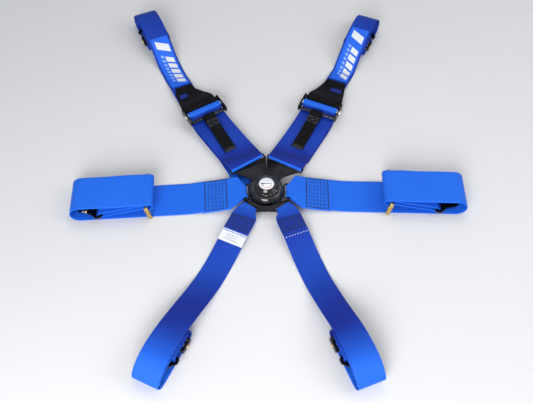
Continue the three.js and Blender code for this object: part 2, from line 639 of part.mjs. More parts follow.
// ---- Crotch straps ----
function crotchStrap(side) {
  const { loop, at_tongue, crossing, away, end } = CROTCH[side];
  const name = `${side}_crotch`;
  const plan = new Plan(loop, [[8, at_tongue], [24, crossing], [44, away]]);
  const line = [
    ...smooth([[64, 13], [45, 13.6], [25, 12.6], [FOLD + 3, TONGUE_MID - TURN_REACH]], 6),
    ...arc(FOLD, TONGUE_MID, TURN_REACH, 270, 90, 8),
    ...smooth([[FOLD + 3, TONGUE_MID + TURN_REACH], [25, 16.2], [45, 15.9], [64, 15.2]], 6),
    ...rolledEnd(end, [[90, 9], [118, 3], [145, GROUND], [175, 2.6], [215, 13], [260, 29]]),
  ];
  const webbing = tapered(ribbon(line, NARROW), 29, FOLD - 4, NARROW / 2, CROTCH_LOOP_HALF);
  add(`${name}_webbing`, plan.bend(webbing), BLUE);
  rolledHardware(name, plan, end);
  if (side === "left") {
    const under = smooth([[68, 14.6], [80, 12], [92, 8.9]], 5);
    const along = offset(under, WEB / 2 + GAP + 0.4).map((p) => [p.x, p.y]);
    add("care_label", plan.bend(ribbon(along, NARROW, 0.8)), WHITE);
  }
}

buckle();
shoulderStrap("left");
shoulderStrap("right");
lapStrap("left");
lapStrap("right");
add("crotch_tongue", crotchTongue(), BLACK_STEEL);
crotchStrap("left");
crotchStrap("right");

export default harness;
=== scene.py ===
"""Racing harness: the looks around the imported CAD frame.

Webbing, stitching, patches, buckle mouldings and plated hardware are built here in the places that the CAD
solids hold. Working units are millimetres in the frame's axes; meshes are written in metres.
"""
import json
import math

import bmesh
import bpy
import numpy as np
from mathutils import Matrix, Vector


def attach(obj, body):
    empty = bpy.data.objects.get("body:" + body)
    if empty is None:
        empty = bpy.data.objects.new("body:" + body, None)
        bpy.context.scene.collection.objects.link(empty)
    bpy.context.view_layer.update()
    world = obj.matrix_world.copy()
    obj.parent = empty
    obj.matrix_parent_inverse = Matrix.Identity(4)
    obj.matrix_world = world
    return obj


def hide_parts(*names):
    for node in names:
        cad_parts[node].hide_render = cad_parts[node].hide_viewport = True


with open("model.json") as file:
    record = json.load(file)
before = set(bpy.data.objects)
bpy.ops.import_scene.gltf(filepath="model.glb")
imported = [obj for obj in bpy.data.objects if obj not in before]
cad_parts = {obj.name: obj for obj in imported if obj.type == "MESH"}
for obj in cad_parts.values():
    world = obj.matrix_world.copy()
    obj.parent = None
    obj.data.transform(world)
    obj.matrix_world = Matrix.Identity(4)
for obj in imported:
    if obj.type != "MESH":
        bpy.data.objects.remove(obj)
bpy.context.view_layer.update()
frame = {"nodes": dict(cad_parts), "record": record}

# ---- Driving sizes, in millimetres ----
MM = 0.001
WIDE = 76
NARROW = 50
WEB = 1.8
GAP = 0.4
GROUND = WEB / 2 + 0.1
RIB = 1.25  # warp ribs across the webbing
PICK = 1.9  # weft picks along it

TONGUE_BOTTOM = 11.7
TONGUE_TOP = 14.7
TONGUE_MID = (TONGUE_BOTTOM + TONGUE_TOP) / 2
TONGUE_TIP = 16.5
NECK = 10.5
HOUSING_BOTTOM = TONGUE_TOP + 0.4
HOUSING_TOP = HOUSING_BOTTOM + 11
RIM = 34
KNOB_RADIUS = 26
KNOB_TOP = HOUSING_TOP + 11
LABEL_RADIUS = 14.6
BASE_BOTTOM = 7.3
BASE_TOP = 11.3
MOUTH_HALF = 12
WALL_INSIDE = 22
TURN_REACH = 3.4  # from the middle of a tongue's bar to the webbing's line round it
EDGE_INSET = 1.5  # from a slot's edge to the middle of that turn

# Places in plan, headings in degrees, distances along each strap, and what differs between the two sides.
SIDES = ("left", "right")
SHOULDER = {
    "left": dict(
        fold=(-38.5, 68.5), lower=124.5, adjuster=122, connector=128, upper=115, end=614, outward=1,
        tail=-39, tab_end=9, tab_top=0, connector_half=NARROW / 2 - 4, window=(0.08, 0.8), lower_seed=1.3,
        upper_seed=5.5,
    ),
    "right": dict(
        fold=(36.5, 68.5), lower=61.2, adjuster=65.8, connector=65.8, upper=65.6, end=576, outward=-1,
        tail=32, tab_end=-3, tab_top=1, connector_half=NARROW / 2, window=(0.06, -0.95), lower_seed=4.1,
        upper_seed=0.4,
    ),
}
LAP = {
    "left": dict(heading=184, end=381, full_left=72, full_right=56, front=1, seed=3.3),
    "right": dict(heading=-1.5, end=389, full_left=56, full_right=70, front=-1, seed=1.9),
}
CROTCH = {
    "left": dict(loop=(-30.5, -37.5), at_tongue=234, crossing=255, away=245, end=396, seed=0.9),
    "right": dict(loop=(30.5, -37.5), at_tongue=306, crossing=281, away=291.2, end=388, seed=2.4),
}
CROTCH_MOUTH = 270


# ---- Materials ----
class Shader:
    """A material's node tree, built by short calls that each return an output socket."""

    def __init__(self, name):
        self.material = bpy.data.materials.new(name)
        self.material.use_nodes = True
        self.tree = self.material.node_tree
        self.bsdf = self.tree.nodes["Principled BSDF"]

    def node(self, kind, inputs=(), output=0, **settings):
        made = self.tree.nodes.new(kind)
        for key, value in settings.items():
            setattr(made, key, value)
        for key, value in dict(inputs).items():
            self.feed(made.inputs[key], value)
        return made.outputs[output]

    def feed(self, socket, value):
        if isinstance(value, bpy.types.NodeSocket):
            self.tree.links.new(value, socket)
        else:
            socket.default_value = value

    def math(self, operation, a, b=0.0, c=0.0):
        return self.node("ShaderNodeMath", {0: a, 1: b, 2: c}, operation=operation)

    def times(self, a, b):
        return self.math("MULTIPLY", a, b)

    def scaled(self, value, factor, offset=0.0):
        return self.math("MULTIPLY_ADD", value, factor, offset)

    def wave(self, value, period):
        """A sine wave from 0 to 1 of the given period, in the value's own units."""
        return self.scaled(self.math("SINE", self.scaled(value, 2 * math.pi / period)), 0.5, 0.5)

    def mix(self, factor, a, b):
        return self.node("ShaderNodeMix", {0: factor, 6: a, 7: b}, 2, data_type="RGBA")

    def blend(self, factor, a, b):
        return self.node("ShaderNodeMix", {0: factor, 2: a, 3: b}, 0, data_type="FLOAT")

    def ramp(self, value, low, high):
        return self.node("ShaderNodeMapRange", {0: value, 1: low, 2: high})

    def noise(self, scale, detail=3.0, vector=None, stretch=None):
        place = vector or self.node("ShaderNodeTexCoord", output=3)
        if stretch:
            place = self.node("ShaderNodeMapping", {"Vector": place, "Scale": stretch})
        return self.node("ShaderNodeTexNoise", {"Vector": place, "Scale": scale, "Detail": detail})

    def bump(self, height, distance, strength=1.0):
        return self.node("ShaderNodeBump", {"Height": height, "Distance": distance, "Strength": strength})

    def weave_map(self):
        """The weave map, and its millimetres across and along the cloth."""
        uv = self.node("ShaderNodeUVMap", uv_map="weave")
        apart = self.node("ShaderNodeSeparateXYZ", {0: uv}).node
        return uv, apart.outputs[0], apart.outputs[1]

    def set(self, **inputs):
        for key, value in inputs.items():
            self.feed(self.bsdf.inputs[key.replace("_", " ")], value)
        return self.material


def rgb(r, g, b):
    return (r, g, b, 1.0)


def shade(colour, factor, lift=0.0):
    """The colour made darker or lighter."""
    return rgb(*(min(1.0, c * factor + lift) for c in colour[:3]))


def webbing_material(name, colour, dark, sheen, specular, flat=None):
    """Woven webbing. Its warp ribs lie side by side, and each dips under the weft out of step with the next.
    The tone attribute paints light and shade: it blends from flat, a painted shaded colour, to colour, a
    painted lit colour, and a tone below 0 paints a deeper shade."""
    s = Shader(name)
    if flat:
        # Painted light and shade: the tone attribute mixes a painted shaded blue towards a painted lit blue.
        tone = s.node("ShaderNodeAttribute", output=2, attribute_name="tone")
        dark = s.mix(tone, shade(flat, 0.35), dark)
        colour = s.mix(tone, flat, colour)
    uv, across, along = s.weave_map()
    column = s.math("FLOOR", s.math("DIVIDE", across, RIB))
    warp = s.math("POWER", s.wave(across, RIB), 0.6)
    step = s.times(s.math("PINGPONG", column, 4.0), math.pi / 2)
    over = s.math("SINE", s.math("ADD", s.times(along, 2 * math.pi / PICK), step))
    height = s.times(warp, s.scaled(over, 0.3, 0.7))
    fibres = s.noise(900.0, 2.0)
    fading = s.noise(9.0, 4.0)
    streaks = s.noise(1.0, 3.0, uv, (2.2, 0.02, 1.0))
    lit = s.scaled(height, 0.45, s.scaled(fibres, 0.25, 0.25))
    worn = s.scaled(fading, 0.35, s.times(streaks, 0.3))
    base = s.mix(s.ramp(lit, 0.15, 0.95), dark, colour)
    base = s.mix(s.times(s.ramp(worn, 0.28, 0.62), 0.35), base, colour)
    # Painted shade: a tone below 0 darkens the webbing further, towards near black.
    if flat:
        depth = s.math("ADD", s.math("MINIMUM", tone, 0.0), 1.0)
        base = s.mix(depth, rgb(0.001, 0.006, 0.06), base)
    rough = s.blend(s.ramp(fibres, 0.3, 0.7), 0.5, 0.68)
    return s.set(Base_Color=base, Roughness=rough, Normal=s.bump(height, 0.00035, 0.8), Sheen_Weight=sheen,
                 Sheen_Roughness=0.45, Sheen_Tint=colour, Specular_IOR_Level=specular)


def thread_material(name, colour):
    """Twisted sewing thread."""
    s = Shader(name)
    twist = s.noise(1400.0, 2.0)
    base = s.mix(s.ramp(twist, 0.3, 0.75), shade(colour, 0.55), colour)
    return s.set(Base_Color=base, Roughness=0.55, Normal=s.bump(twist, 0.0002, 0.7), Sheen_Weight=0.06)


def patch_material(name, colour, dark):
    """Embroidered twill: satin stitches laid side by side."""
    s = Shader(name)
    _, across, along = s.weave_map()
    twill = s.wave(s.scaled(across, 0.7, along), 0.8)
    floss = s.noise(700.0, 2.0)
    lit = s.scaled(twill, 0.5, s.times(floss, 0.5))
    base = s.mix(s.ramp(lit, 0.1, 0.75), dark, colour)
    return s.set(Base_Color=base, Roughness=s.blend(floss, 0.36, 0.6), Normal=s.bump(lit, 0.0003, 0.7),
                 Sheen_Weight=0.25, Sheen_Tint=colour, Specular_IOR_Level=0.5)


def moulded_plastic(name, colour, roughness):
    """Glossy moulded plastic with a faint orange peel and handling marks."""
    s = Shader(name)
    peel = s.noise(260.0, 3.0)
    scuffs = s.noise(1.0, 5.0, None, (90.0, 340.0, 90.0))
    rough = s.blend(s.ramp(scuffs, 0.5, 0.78), roughness, roughness + 0.22)
    base = s.mix(s.ramp(s.noise(14.0), 0.35, 0.7), colour, shade(colour, 1.6, 0.004))
    return s.set(Base_Color=base, Roughness=rough, Normal=s.bump(peel, 0.00006, 0.5), Coat_Weight=0.25,
                 Coat_Roughness=0.08, Specular_IOR_Level=0.55)


def rubber(name):
    """Matt moulded rubber with a fine grain."""
    s = Shader(name)
    grain = s.noise(1100.0, 2.0)
    dust = s.noise(30.0, 4.0)
    base = s.mix(s.ramp(dust, 0.4, 0.75), rgb(0.010, 0.010, 0.011), rgb(0.028, 0.028, 0.030))
    return s.set(Base_Color=base, Roughness=s.blend(dust, 0.7, 0.9), Normal=s.bump(grain, 0.0002, 0.6))


def worn_plating(name, colour, under, roughness, metallic, wear, corners=(0.515, 0.60)):
    """Plated sheet steel: rolling grain under the plating, and bare metal where the corners rub."""
    s = Shader(name)
    grain = s.noise(1.0, 4.0, None, (60.0, 1500.0, 200.0))
    mottle = s.noise(55.0, 4.0)
    nicks = s.noise(420.0, 3.0)
    pointed = s.node("ShaderNodeNewGeometry", output="Pointiness")
    corner = s.ramp(pointed, *corners)
    bare = s.times(s.times(corner, s.ramp(nicks, 0.42, 0.62)), wear)
    plated = s.mix(s.ramp(mottle, 0.35, 0.7), colour, shade(colour, 1.3, 0.004))
    rough = s.blend(s.ramp(grain, 0.3, 0.8), roughness, roughness + 0.12)
    return s.set(Base_Color=s.mix(bare, plated, under), Roughness=s.blend(bare, rough, 0.35),
                 Metallic=s.blend(bare, metallic, 1.0), Normal=s.bump(grain, 0.00003, 0.5))


def satin_label(name):
    """Printed satin ribbon: fine weft lines across a bright white ground."""
    s = Shader(name)
    _, _, along = s.weave_map()
    weft = s.wave(along, 0.55)
    lit = s.scaled(weft, 0.5, s.times(s.noise(40.0, 4.0), 0.5))
    base = s.mix(s.ramp(lit, 0.1, 0.9), rgb(0.66, 0.69, 0.74), rgb(0.86, 0.88, 0.92))
    return s.set(Base_Color=base, Roughness=0.42, Normal=s.bump(weft, 0.00015, 0.5), Sheen_Weight=0.2)


def printed_disc(name, colour, roughness=0.3):
    """Screen-printed metal foil under a clear coat."""
    s = Shader(name)
    brushed = s.noise(1.0, 3.0, None, (40.0, 900.0, 40.0))
    base = s.mix(s.ramp(brushed, 0.3, 0.7), shade(colour, 0.82), colour)
    return s.set(Base_Color=base, Roughness=roughness, Metallic=0.15, Normal=s.bump(brushed, 0.00003, 0.4),
                 Coat_Weight=0.6, Coat_Roughness=0.06)


# colour is the painted lit blue and flat the painted shaded blue, picked between by each strap's painted
# tone.
BLUE = webbing_material("blue_webbing", rgb(0.012, 0.21, 1.0), rgb(0.004, 0.06, 0.55), 0.16, 0.3,
                        flat=rgb(0.003, 0.034, 0.46))
BLACK_WEB = webbing_material("black_webbing", rgb(0.006, 0.006, 0.008), rgb(0.001, 0.001, 0.002), 0.02, 0.12)
PATCH = patch_material("patch_twill", rgb(0.003, 0.15, 0.95), rgb(0.002, 0.08, 0.62))
EMBROIDERY = patch_material("white_embroidery", rgb(0.86, 0.88, 0.92), rgb(0.58, 0.62, 0.70))
PALE_EMBROIDERY = patch_material("pale_embroidery", rgb(0.30, 0.50, 0.92), rgb(0.16, 0.30, 0.70))
BLACK_THREAD = thread_material("black_thread", rgb(0.004, 0.005, 0.012))
BLUE_THREAD = thread_material("blue_thread", rgb(0.02, 0.14, 0.72))
WHITE_THREAD = thread_material("white_thread", rgb(0.85, 0.88, 0.94))
GREY_THREAD = thread_material("grey_thread", rgb(0.34, 0.36, 0.42))
PATCH_THREAD = thread_material("patch_thread", rgb(0.0, 0.16, 0.85))
LABEL = satin_label("care_satin")
GLOSS = moulded_plastic("gloss_black_plastic", rgb(0.006, 0.006, 0.007), 0.16)
RUBBER = rubber("pad_rubber")
BLACK_STEEL = worn_plating("black_plated_steel", rgb(0.009, 0.009, 0.011), rgb(0.4, 0.4, 0.42), 0.14, 0.94,
                           0.6)
RUBBED_STEEL = worn_plating("rubbed_black_steel", rgb(0.012, 0.012, 0.014), rgb(0.55, 0.55, 0.57), 0.16,
                            0.94, 0.55, (0.52, 0.60))
ZINC = worn_plating("yellow_zinc", rgb(0.60, 0.43, 0.16), rgb(0.70, 0.66, 0.55), 0.24, 1.0, 0.4)
STEEL = worn_plating("bright_steel", rgb(0.50, 0.51, 0.53), rgb(0.7, 0.7, 0.7), 0.22, 1.0, 0.3)
DISC = printed_disc("label_foil", rgb(0.80, 0.83, 0.87))
INK = printed_disc("label_ink", rgb(0.03, 0.03, 0.045), 0.4)
RED_INK = printed_disc("label_red_ink", rgb(0.72, 0.05, 0.10), 0.4)


# ---- Mesh helpers ----
def linked(name, data):
    """A new object in the scene."""
    made = bpy.data.objects.new(name, data)
    bpy.context.scene.collection.objects.link(made)
    return made


def new_object(name, vertices, faces, material, smooth_angle, uv=None):
    """Makes a mesh object from millimetre points. uv gives one pair for each vertex of each face."""
    mesh = bpy.data.meshes.new(name)
    mesh.from_pydata((np.asarray(vertices, float) * MM).tolist(), [], [list(map(int, f)) for f in faces])
    if uv is not None:
        layer = mesh.uv_layers.new(name="weave")
        layer.data.foreach_set("uv", np.asarray(uv, np.float32).ravel())
    mesh.materials.append(material)
    work = bmesh.new()
    work.from_mesh(mesh)
    bmesh.ops.recalc_face_normals(work, faces=work.faces)
    work.to_mesh(mesh)
    work.free()
    mesh.shade_smooth()
    mesh.set_sharp_from_angle(angle=math.radians(smooth_angle))
    return linked(name, mesh)


def joined(name, parts, material, smooth_angle=35):
    """One object from several (vertices, faces) pairs."""
    vertices, faces, start = [], [], 0
    for part_vertices, part_faces in parts:
        vertices.append(np.asarray(part_vertices, float))
        faces += [[start + i for i in face] for face in part_faces]
        start += len(part_vertices)
    return new_object(name, np.concatenate(vertices), faces, material, smooth_angle)


def body_of(node):
    return next(body for body, nodes in frame["record"]["behaviour"]["bodies"].items() if node in nodes)


def stand_for(piece, node):
    """The piece takes the place of one CAD node: it rides on its body, and the node is hidden."""
    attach(piece, body_of(node))
    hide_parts(node)


def go_with(piece, node):
    """The piece is a detail on a CAD node's body."""
    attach(piece, body_of(node))


def solid(name, node, parts, material, smooth_angle=35):
    stand_for(joined(name, parts, material, smooth_angle), node)


def at(x=0.0, y=0.0, z=0.0, turn=0.0, pitch=0.0, roll=0.0):
    """A placing matrix: rolled about X, pitched up about Y, turned about Z, then moved. Angles in degrees."""
    matrix = Matrix.Translation((x, y, z))
    for angle, axis in ((turn, "Z"), (-pitch, "Y"), (roll, "X")):
        matrix = matrix @ Matrix.Rotation(math.radians(angle), 4, axis)
    return matrix


def moved(part, matrix):
    vertices, faces = part
    return np.asarray(vertices, float) @ np.array(matrix)[:3, :3].T + np.array(matrix)[:3, 3], faces


def upright(part):
    """Stands a flat part up: its Y becomes height and its thickness runs across."""
    return moved(part, at(roll=90))


def turned(profile, sides=128, closed=False, radius_at=None):
    """A solid of revolution about Z from (radius, height) points. radius_at(radius, angle) may vary it."""
    angles = np.arange(sides) / sides * 2 * math.pi
    vertices, rows, faces = [], [], []
    for radius, height in profile:
        if radius < 1e-6:
            rows.append([len(vertices)])
            vertices.append((0.0, 0.0, height))
            continue
        rows.append(list(range(len(vertices), len(vertices) + sides)))
        for angle in angles:
            r = radius_at(radius, angle) if radius_at else radius
            vertices.append((r * math.cos(angle), r * math.sin(angle), height))
    for a, b in zip(rows, rows[1:] + rows[:1] if closed else rows[1:]):
        for i in range(sides):
            j = (i + 1) % sides
            if len(a) == 1 and len(b) > 1:
                faces.append([a[0], b[j], b[i]])
            elif len(b) == 1 and len(a) > 1:
                faces.append([a[i], a[j], b[0]])
            elif len(a) > 1:
                faces.append([a[i], a[j], b[j], b[i]])
    return vertices, faces


def rounded(points, radius, steps=4, closed=False):
    """Rounds the corners of a polyline. radius is one number, or one for each point."""
    points = [np.asarray(p, float) for p in points]
    count = len(points)
    radii = [radius] * count if np.isscalar(radius) else list(radius)
    out = []
    for i, here in enumerate(points):
        if not closed and i in (0, count - 1) or radii[i] <= 0:
            out.append(tuple(here))
            continue
        to_last = points[i - 1] - here
        to_next = points[(i + 1) % count] - here
        reach = min(radii[i], 0.45 * np.linalg.norm(to_last), 0.45 * np.linalg.norm(to_next))
        a = here + to_last / np.linalg.norm(to_last) * reach
        b = here + to_next / np.linalg.norm(to_next) * reach
        for k in range(steps + 1):
            t = k / steps
            out.append(tuple((1 - t) ** 2 * a + 2 * t * (1 - t) * here + t * t * b))
    return out


def loop(points, radius, steps=4):
    return rounded(points, radius, steps, closed=True)


def rectangle(x0, x1, y0, y1):
    return [(x0, y0), (x1, y0), (x1, y1), (x0, y1)]


def arc(x, y, radius, start, stop, steps=14):
    angles = np.radians(np.linspace(start, stop, steps + 1))
    return [(x + radius * math.cos(a), y + radius * math.sin(a)) for a in angles]


def turn_points(points, degrees):
    c, s = math.cos(math.radians(degrees)), math.sin(math.radians(degrees))
    return [(x * c - y * s, x * s + y * c) for x, y in points]


def plate(outline, holes, low, high, bevel=0.6, bevel_steps=3):
    """A flat plate with rounded edges, from an outline and holes in X and Y."""
    curve = bpy.data.curves.new("plate", "CURVE")
    curve.dimensions = "2D"
    curve.fill_mode = "BOTH"
    for line in [outline, *holes]:
        spline = curve.splines.new("POLY")
        spline.points.add(len(line) - 1)
        for point, (x, y) in zip(spline.points, line):
            point.co = (x, y, 0, 1)
        spline.use_cyclic_u = True
    curve.extrude = (high - low) / 2 - bevel
    curve.bevel_depth = bevel
    curve.bevel_resolution = bevel_steps
    curve.offset = -bevel
    holder = linked("plate", curve)
    mesh = bpy.data.meshes.new_from_object(holder.evaluated_get(bpy.context.evaluated_depsgraph_get()))
    work = bmesh.new()
    work.from_mesh(mesh)
    bmesh.ops.remove_doubles(work, verts=work.verts, dist=1e-4)
    bmesh.ops.dissolve_degenerate(work, edges=work.edges, dist=1e-4)
    bmesh.ops.recalc_face_normals(work, faces=work.faces)
    vertices = [(v.co.x, v.co.y, v.co.z + (low + high) / 2) for v in work.verts]
    work.verts.index_update()
    faces = [[v.index for v in face.verts] for face in work.faces]
    work.free()
    bpy.data.objects.remove(holder)
    bpy.data.curves.remove(curve)
    bpy.data.meshes.remove(mesh)
    return vertices, faces


# ---- Webbing lines: distance along the strap and height ----
def smooth(points, steps=12):
    """A centripetal Catmull-Rom curve through the points, never below the ground layer."""
    p = [np.asarray(q, float) for q in points]
    p = [2 * p[0] - p[1], *p, 2 * p[-1] - p[-2]]
    line = []
    for i in range(1, len(p) - 2):
        before, length, after = (max(np.linalg.norm(p[k + 1] - p[k]), 1e-6) ** 0.5 for k in (i - 1, i, i + 1))
        run = (p[i + 1] - p[i]) / length
        first = (p[i] - p[i - 1]) / before - (p[i + 1] - p[i - 1]) / (before + length) + run
        last = run - (p[i + 2] - p[i]) / (length + after) + (p[i + 2] - p[i + 1]) / after
        first, last = first * length, last * length
        for t in np.linspace(0, 1, steps, endpoint=i == len(p) - 3):
            line.append(
                (2 * t**3 - 3 * t**2 + 1) * p[i] + (t**3 - 2 * t**2 + t) * first
                + (3 * t**2 - 2 * t**3) * p[i + 1] + (t**3 - t**2) * last
            )
    return [(x, max(z, GROUND)) for x, z in line]


def running(steps):
    return np.concatenate([[0], np.cumsum(steps)])


def lengths_along(line):
    return running(np.linalg.norm(np.diff(line, axis=0), axis=1))


TURN_PER_POINT = math.radians(11)


def spaced(line, step):
    """The line with points a step apart, closer where it turns sharply."""
    line = np.asarray(line, float)
    line = line[np.concatenate([[True], np.linalg.norm(np.diff(line, axis=0), axis=1) > 1e-3])]
    steps = np.linalg.norm(np.diff(line, axis=0), axis=1)
    heading = np.unwrap(np.arctan2(np.diff(line[:, 1]), np.diff(line[:, 0])))
    turning = np.abs(np.diff(heading, prepend=heading[0]))
    total = running(steps / step + turning / TURN_PER_POINT)
    wanted = np.linspace(0, total[-1], max(8, int(round(total[-1]))) + 1)
    return np.stack([np.interp(wanted, total, line[:, k]) for k in (0, 1)], 1)


def shifted(end, points):
    return [(end + x, z) for x, z in points]


class Plan:
    """Where a strap runs over the ground: from a start, with its heading at [distance, heading] pairs."""

    STEP = 0.5

    def __init__(self, start, headings):
        self.s = np.arange(-150.0, 700.0, self.STEP)
        turn = np.radians(np.interp(self.s + self.STEP / 2, *zip(*headings)))
        x, y = (running(along * self.STEP)[:-1] for along in (np.cos(turn), np.sin(turn)))
        self.x = x - np.interp(0, self.s, x) + start[0]
        self.y = y - np.interp(0, self.s, y) + start[1]
        self.headings = headings

    def heading(self, s):
        return np.radians(np.interp(s, *zip(*self.headings)))

    def point(self, s):
        return np.array([np.interp(s, self.s, self.x), np.interp(s, self.s, self.y)])

    def bend(self, points):
        points = np.asarray(points, float)
        turn = self.heading(points[:, 0])
        x, y = self.point(points[:, 0])
        return np.stack([x - np.sin(turn) * points[:, 1], y + np.cos(turn) * points[:, 1], points[:, 2]], 1)

    def place(self, s, z=0.0, pitch=0.0):
        return at(*self.point(s), z, math.degrees(self.heading(s)), pitch)


class Ribbon:
    """A strap of webbing along a line in its plan. edges(s, way) gives the distances of its left and right
    edges from the line at each station; way is the length along the webbing."""

    FLAT_STEPS = 16
    EDGE_STEPS = 5
    BORDER = 9  # how wide the turned-in corners are
    BORDER_RISE = 3
    NARROWING = 6  # how much narrower on a side the webbing is where they are fully turned in
    UNDER_LAYER = 150  # the turn round a tongue comes within this length

    def __init__(self, plan, line, width, edges=None, thickness=WEB, step=2.4, ripple=0.12, seed=0.0,
                 sag=None):
        self.plan = plan
        self.line = spaced(line, step)
        along = np.gradient(self.line, axis=0)
        along /= np.linalg.norm(along, axis=1)[:, None]
        self.normals = np.stack([-along[:, 1], along[:, 0]], 1)
        self.way = lengths_along(self.line)
        self.width = width
        self.thickness = thickness
        self.ripple = ripple
        self.seed = seed
        self.sag = sag
        half = np.full(len(self.line), width / 2)
        self.left, self.right = edges(self.line[:, 0], self.way) if edges else (half, -half)

    def station(self, way):
        """Line point, normal and edges at a length along the webbing."""
        line, normal = (np.array([np.interp(way, self.way, of[:, k]) for k in (0, 1)])
                        for of in (self.line, self.normals))
        left, right = (np.interp(way, self.way, of) for of in (self.left, self.right))
        return line, normal / np.linalg.norm(normal), left, right

    def wave(self, way, share):
        """How far the webbing's middle stands off its line: it is never quite flat."""
        slow = math.sin(way / 37 + self.seed) * math.cos(share * 2.1 + self.seed)
        quick = math.sin(way / 11.3 + self.seed * 3 + share * 4) * 0.35
        return self.ripple * (slow + quick) * 0.5 + (self.sag(way, share) if self.sag else 0.0)

    def way_at(self, s, first=True):
        """The length along the webbing where it first, or last, passes distance s."""
        hit = np.nonzero((self.line[:-1, 0] - s) * (self.line[1:, 0] - s) <= 0)[0]
        i = hit[0] if first else hit[-1]
        a, b = self.line[i, 0], self.line[i + 1, 0]
        return self.way[i] + (self.way[i + 1] - self.way[i]) * (s - a) / (b - a)

    def top_ways(self, *distances):
        """Lengths along a tongue's webbing where its first top layer passes some distances. The webbing
        starts under the tongue, so the top layer is the second pass."""
        turn = int(np.argmin(np.where(self.way < self.UNDER_LAYER, self.line[:, 0], np.inf)))
        s, way = self.line[turn:, 0], self.way[turn:]
        reach = np.argmax(s > max(distances)) + 1
        return [np.interp(distance, s[:reach], way[:reach]) for distance in distances]

    def on_top(self, way, across, lift=0.0):
        """A point on the webbing's outer face, in the frame. across is from -1 at its right edge to 1."""
        line, normal, left, right = self.station(way)
        middle, half = (left + right) / 2, (left - right) / 2
        point = line + normal * (self.thickness / 2 + lift + self.wave(way, across))
        return self.plan.bend([(point[0], middle + across * half, point[1])])[0]

    def line_above(self, first, last, count, lift):
        """A line that lies lift above this one between two lengths."""
        stations = [self.station(way) for way in np.linspace(first, last, count)]
        return [point + normal * lift for point, normal, _, _ in stations]

    def mesh(self, name, material, turned_in=0.0, tone=None):
        """The webbing as a closed solid with round selvedges. Where it narrows, its corners are turned in,
        which raises its borders by turned_in. tone(s, height, way, share) gives the webbing's painted light
        and shade as its tone, which is 1, fully lit, where no tone is given."""
        flat, round_edge = self.FLAT_STEPS, self.thickness / 2
        turns = [math.pi * k / self.EDGE_STEPS for k in range(1, self.EDGE_STEPS)]
        ring = [
            *((1 - 2 * k / flat, 1, 0.0) for k in range(flat + 1)),
            *((-1, math.cos(turn), -math.sin(turn)) for turn in turns),
            *((-1 + 2 * k / flat, -1, 0.0) for k in range(flat + 1)),
            *((1, -math.cos(turn), math.sin(turn)) for turn in turns),
        ]
        vertices, uv_of = [], []
        full = self.width / 2
        for i, (point, normal) in enumerate(zip(self.line, self.normals)):
            middle = (self.left[i] + self.right[i]) / 2
            half = (self.left[i] - self.right[i]) / 2
            folded = turned_in * min(1.0, (full - half) / self.NARROWING)
            for share, up, out in ring:
                ridge = min(1.0, max(0.0, (abs(share) * half - half + self.BORDER) / self.BORDER_RISE))
                lift = up * round_edge + self.wave(self.way[i], share) + folded * ridge * max(up, 0)
                spot = point + normal * lift
                vertices.append((spot[0], middle + share * (half - round_edge) + out * round_edge, spot[1]))
                uv_of.append((share * half, self.way[i]))
        count, edge = len(ring), self.EDGE_STEPS
        faces = []
        for i in range(0, (len(self.line) - 1) * count, count):
            for k in range(count):
                n = (k + 1) % count
                faces.append([i + k, i + n, i + count + n, i + count + k])
        under = 2 * flat + edge
        for base in (0, (len(self.line) - 1) * count):
            faces += [[base + k, base + k + 1, base + under - k - 1, base + under - k] for k in range(flat)]
            faces.append([base + k for k in range(flat, flat + edge + 1)])
            faces.append([base + k for k in (*range(under, under + edge), 0)])
        uv = [uv_of[v] for face in faces for v in face]
        made = new_object(name, self.plan.bend(vertices), faces, material, 60, uv)
        share = np.array([spot[0] for spot in ring])
        place = [column[:, None] for column in (self.line[:, 0], self.line[:, 1], self.way)]
        # The tone attribute carries painted light and shade: 1, the painted lit colour, where no tone
        # function is given.
        tones = np.broadcast_to(tone(*place, share) if tone else 1.0, (len(self.line), count))
        layer = made.data.attributes.new("tone", "FLOAT", "POINT")
        layer.data.foreach_set("value", tones.ravel().astype(np.float32))
        return made


# ---- Stitches and marks on a ribbon, at (way, across) points ----
BEAD = 6


def bead(centres, radius):
    """One stitch: a small bead of thread along five points, which dips into the webbing at its ends."""
    along = centres[-1] - centres[0]
    along /= np.linalg.norm(along)
    across = np.cross((0, 0, 1.0), along)
    across /= max(np.linalg.norm(across), 1e-6)
    up = np.cross(along, across)
    vertices = [centres[0] - up * radius * 0.9]
    for centre, bulge in zip(centres[1:], (0.85, 1.0, 0.85)):
        for q in range(BEAD):
            angle = 2 * math.pi * q / BEAD
            offset = across * math.cos(angle) + up * (math.sin(angle) * 0.75 + 0.1)
            vertices.append(centre + offset * radius * bulge)
    vertices.append(centres[-1] - up * radius * 0.9)
    sides = [(1 + q, 1 + (q + 1) % BEAD) for q in range(BEAD)]
    faces = [[0, n, q] for q, n in sides]
    faces += [[k + q, k + n, k + BEAD + n, k + BEAD + q] for k in (0, BEAD) for q, n in sides]
    faces += [[3 * BEAD + 1, 2 * BEAD + q, 2 * BEAD + n] for q, n in sides]
    return vertices, faces


def densely(run, step=1.0):
    """Fills a stitch run with points about a millimetre apart along the webbing."""
    out = []
    for (w0, a0), (w1, a1) in zip(run, run[1:]):
        count = max(2, int((abs(w1 - w0) + abs(a1 - a0) * 30) / step))
        for t in np.linspace(0, 1, count, endpoint=False):
            out.append((w0 + (w1 - w0) * t, a0 + (a1 - a0) * t))
    return [*out, run[-1]]


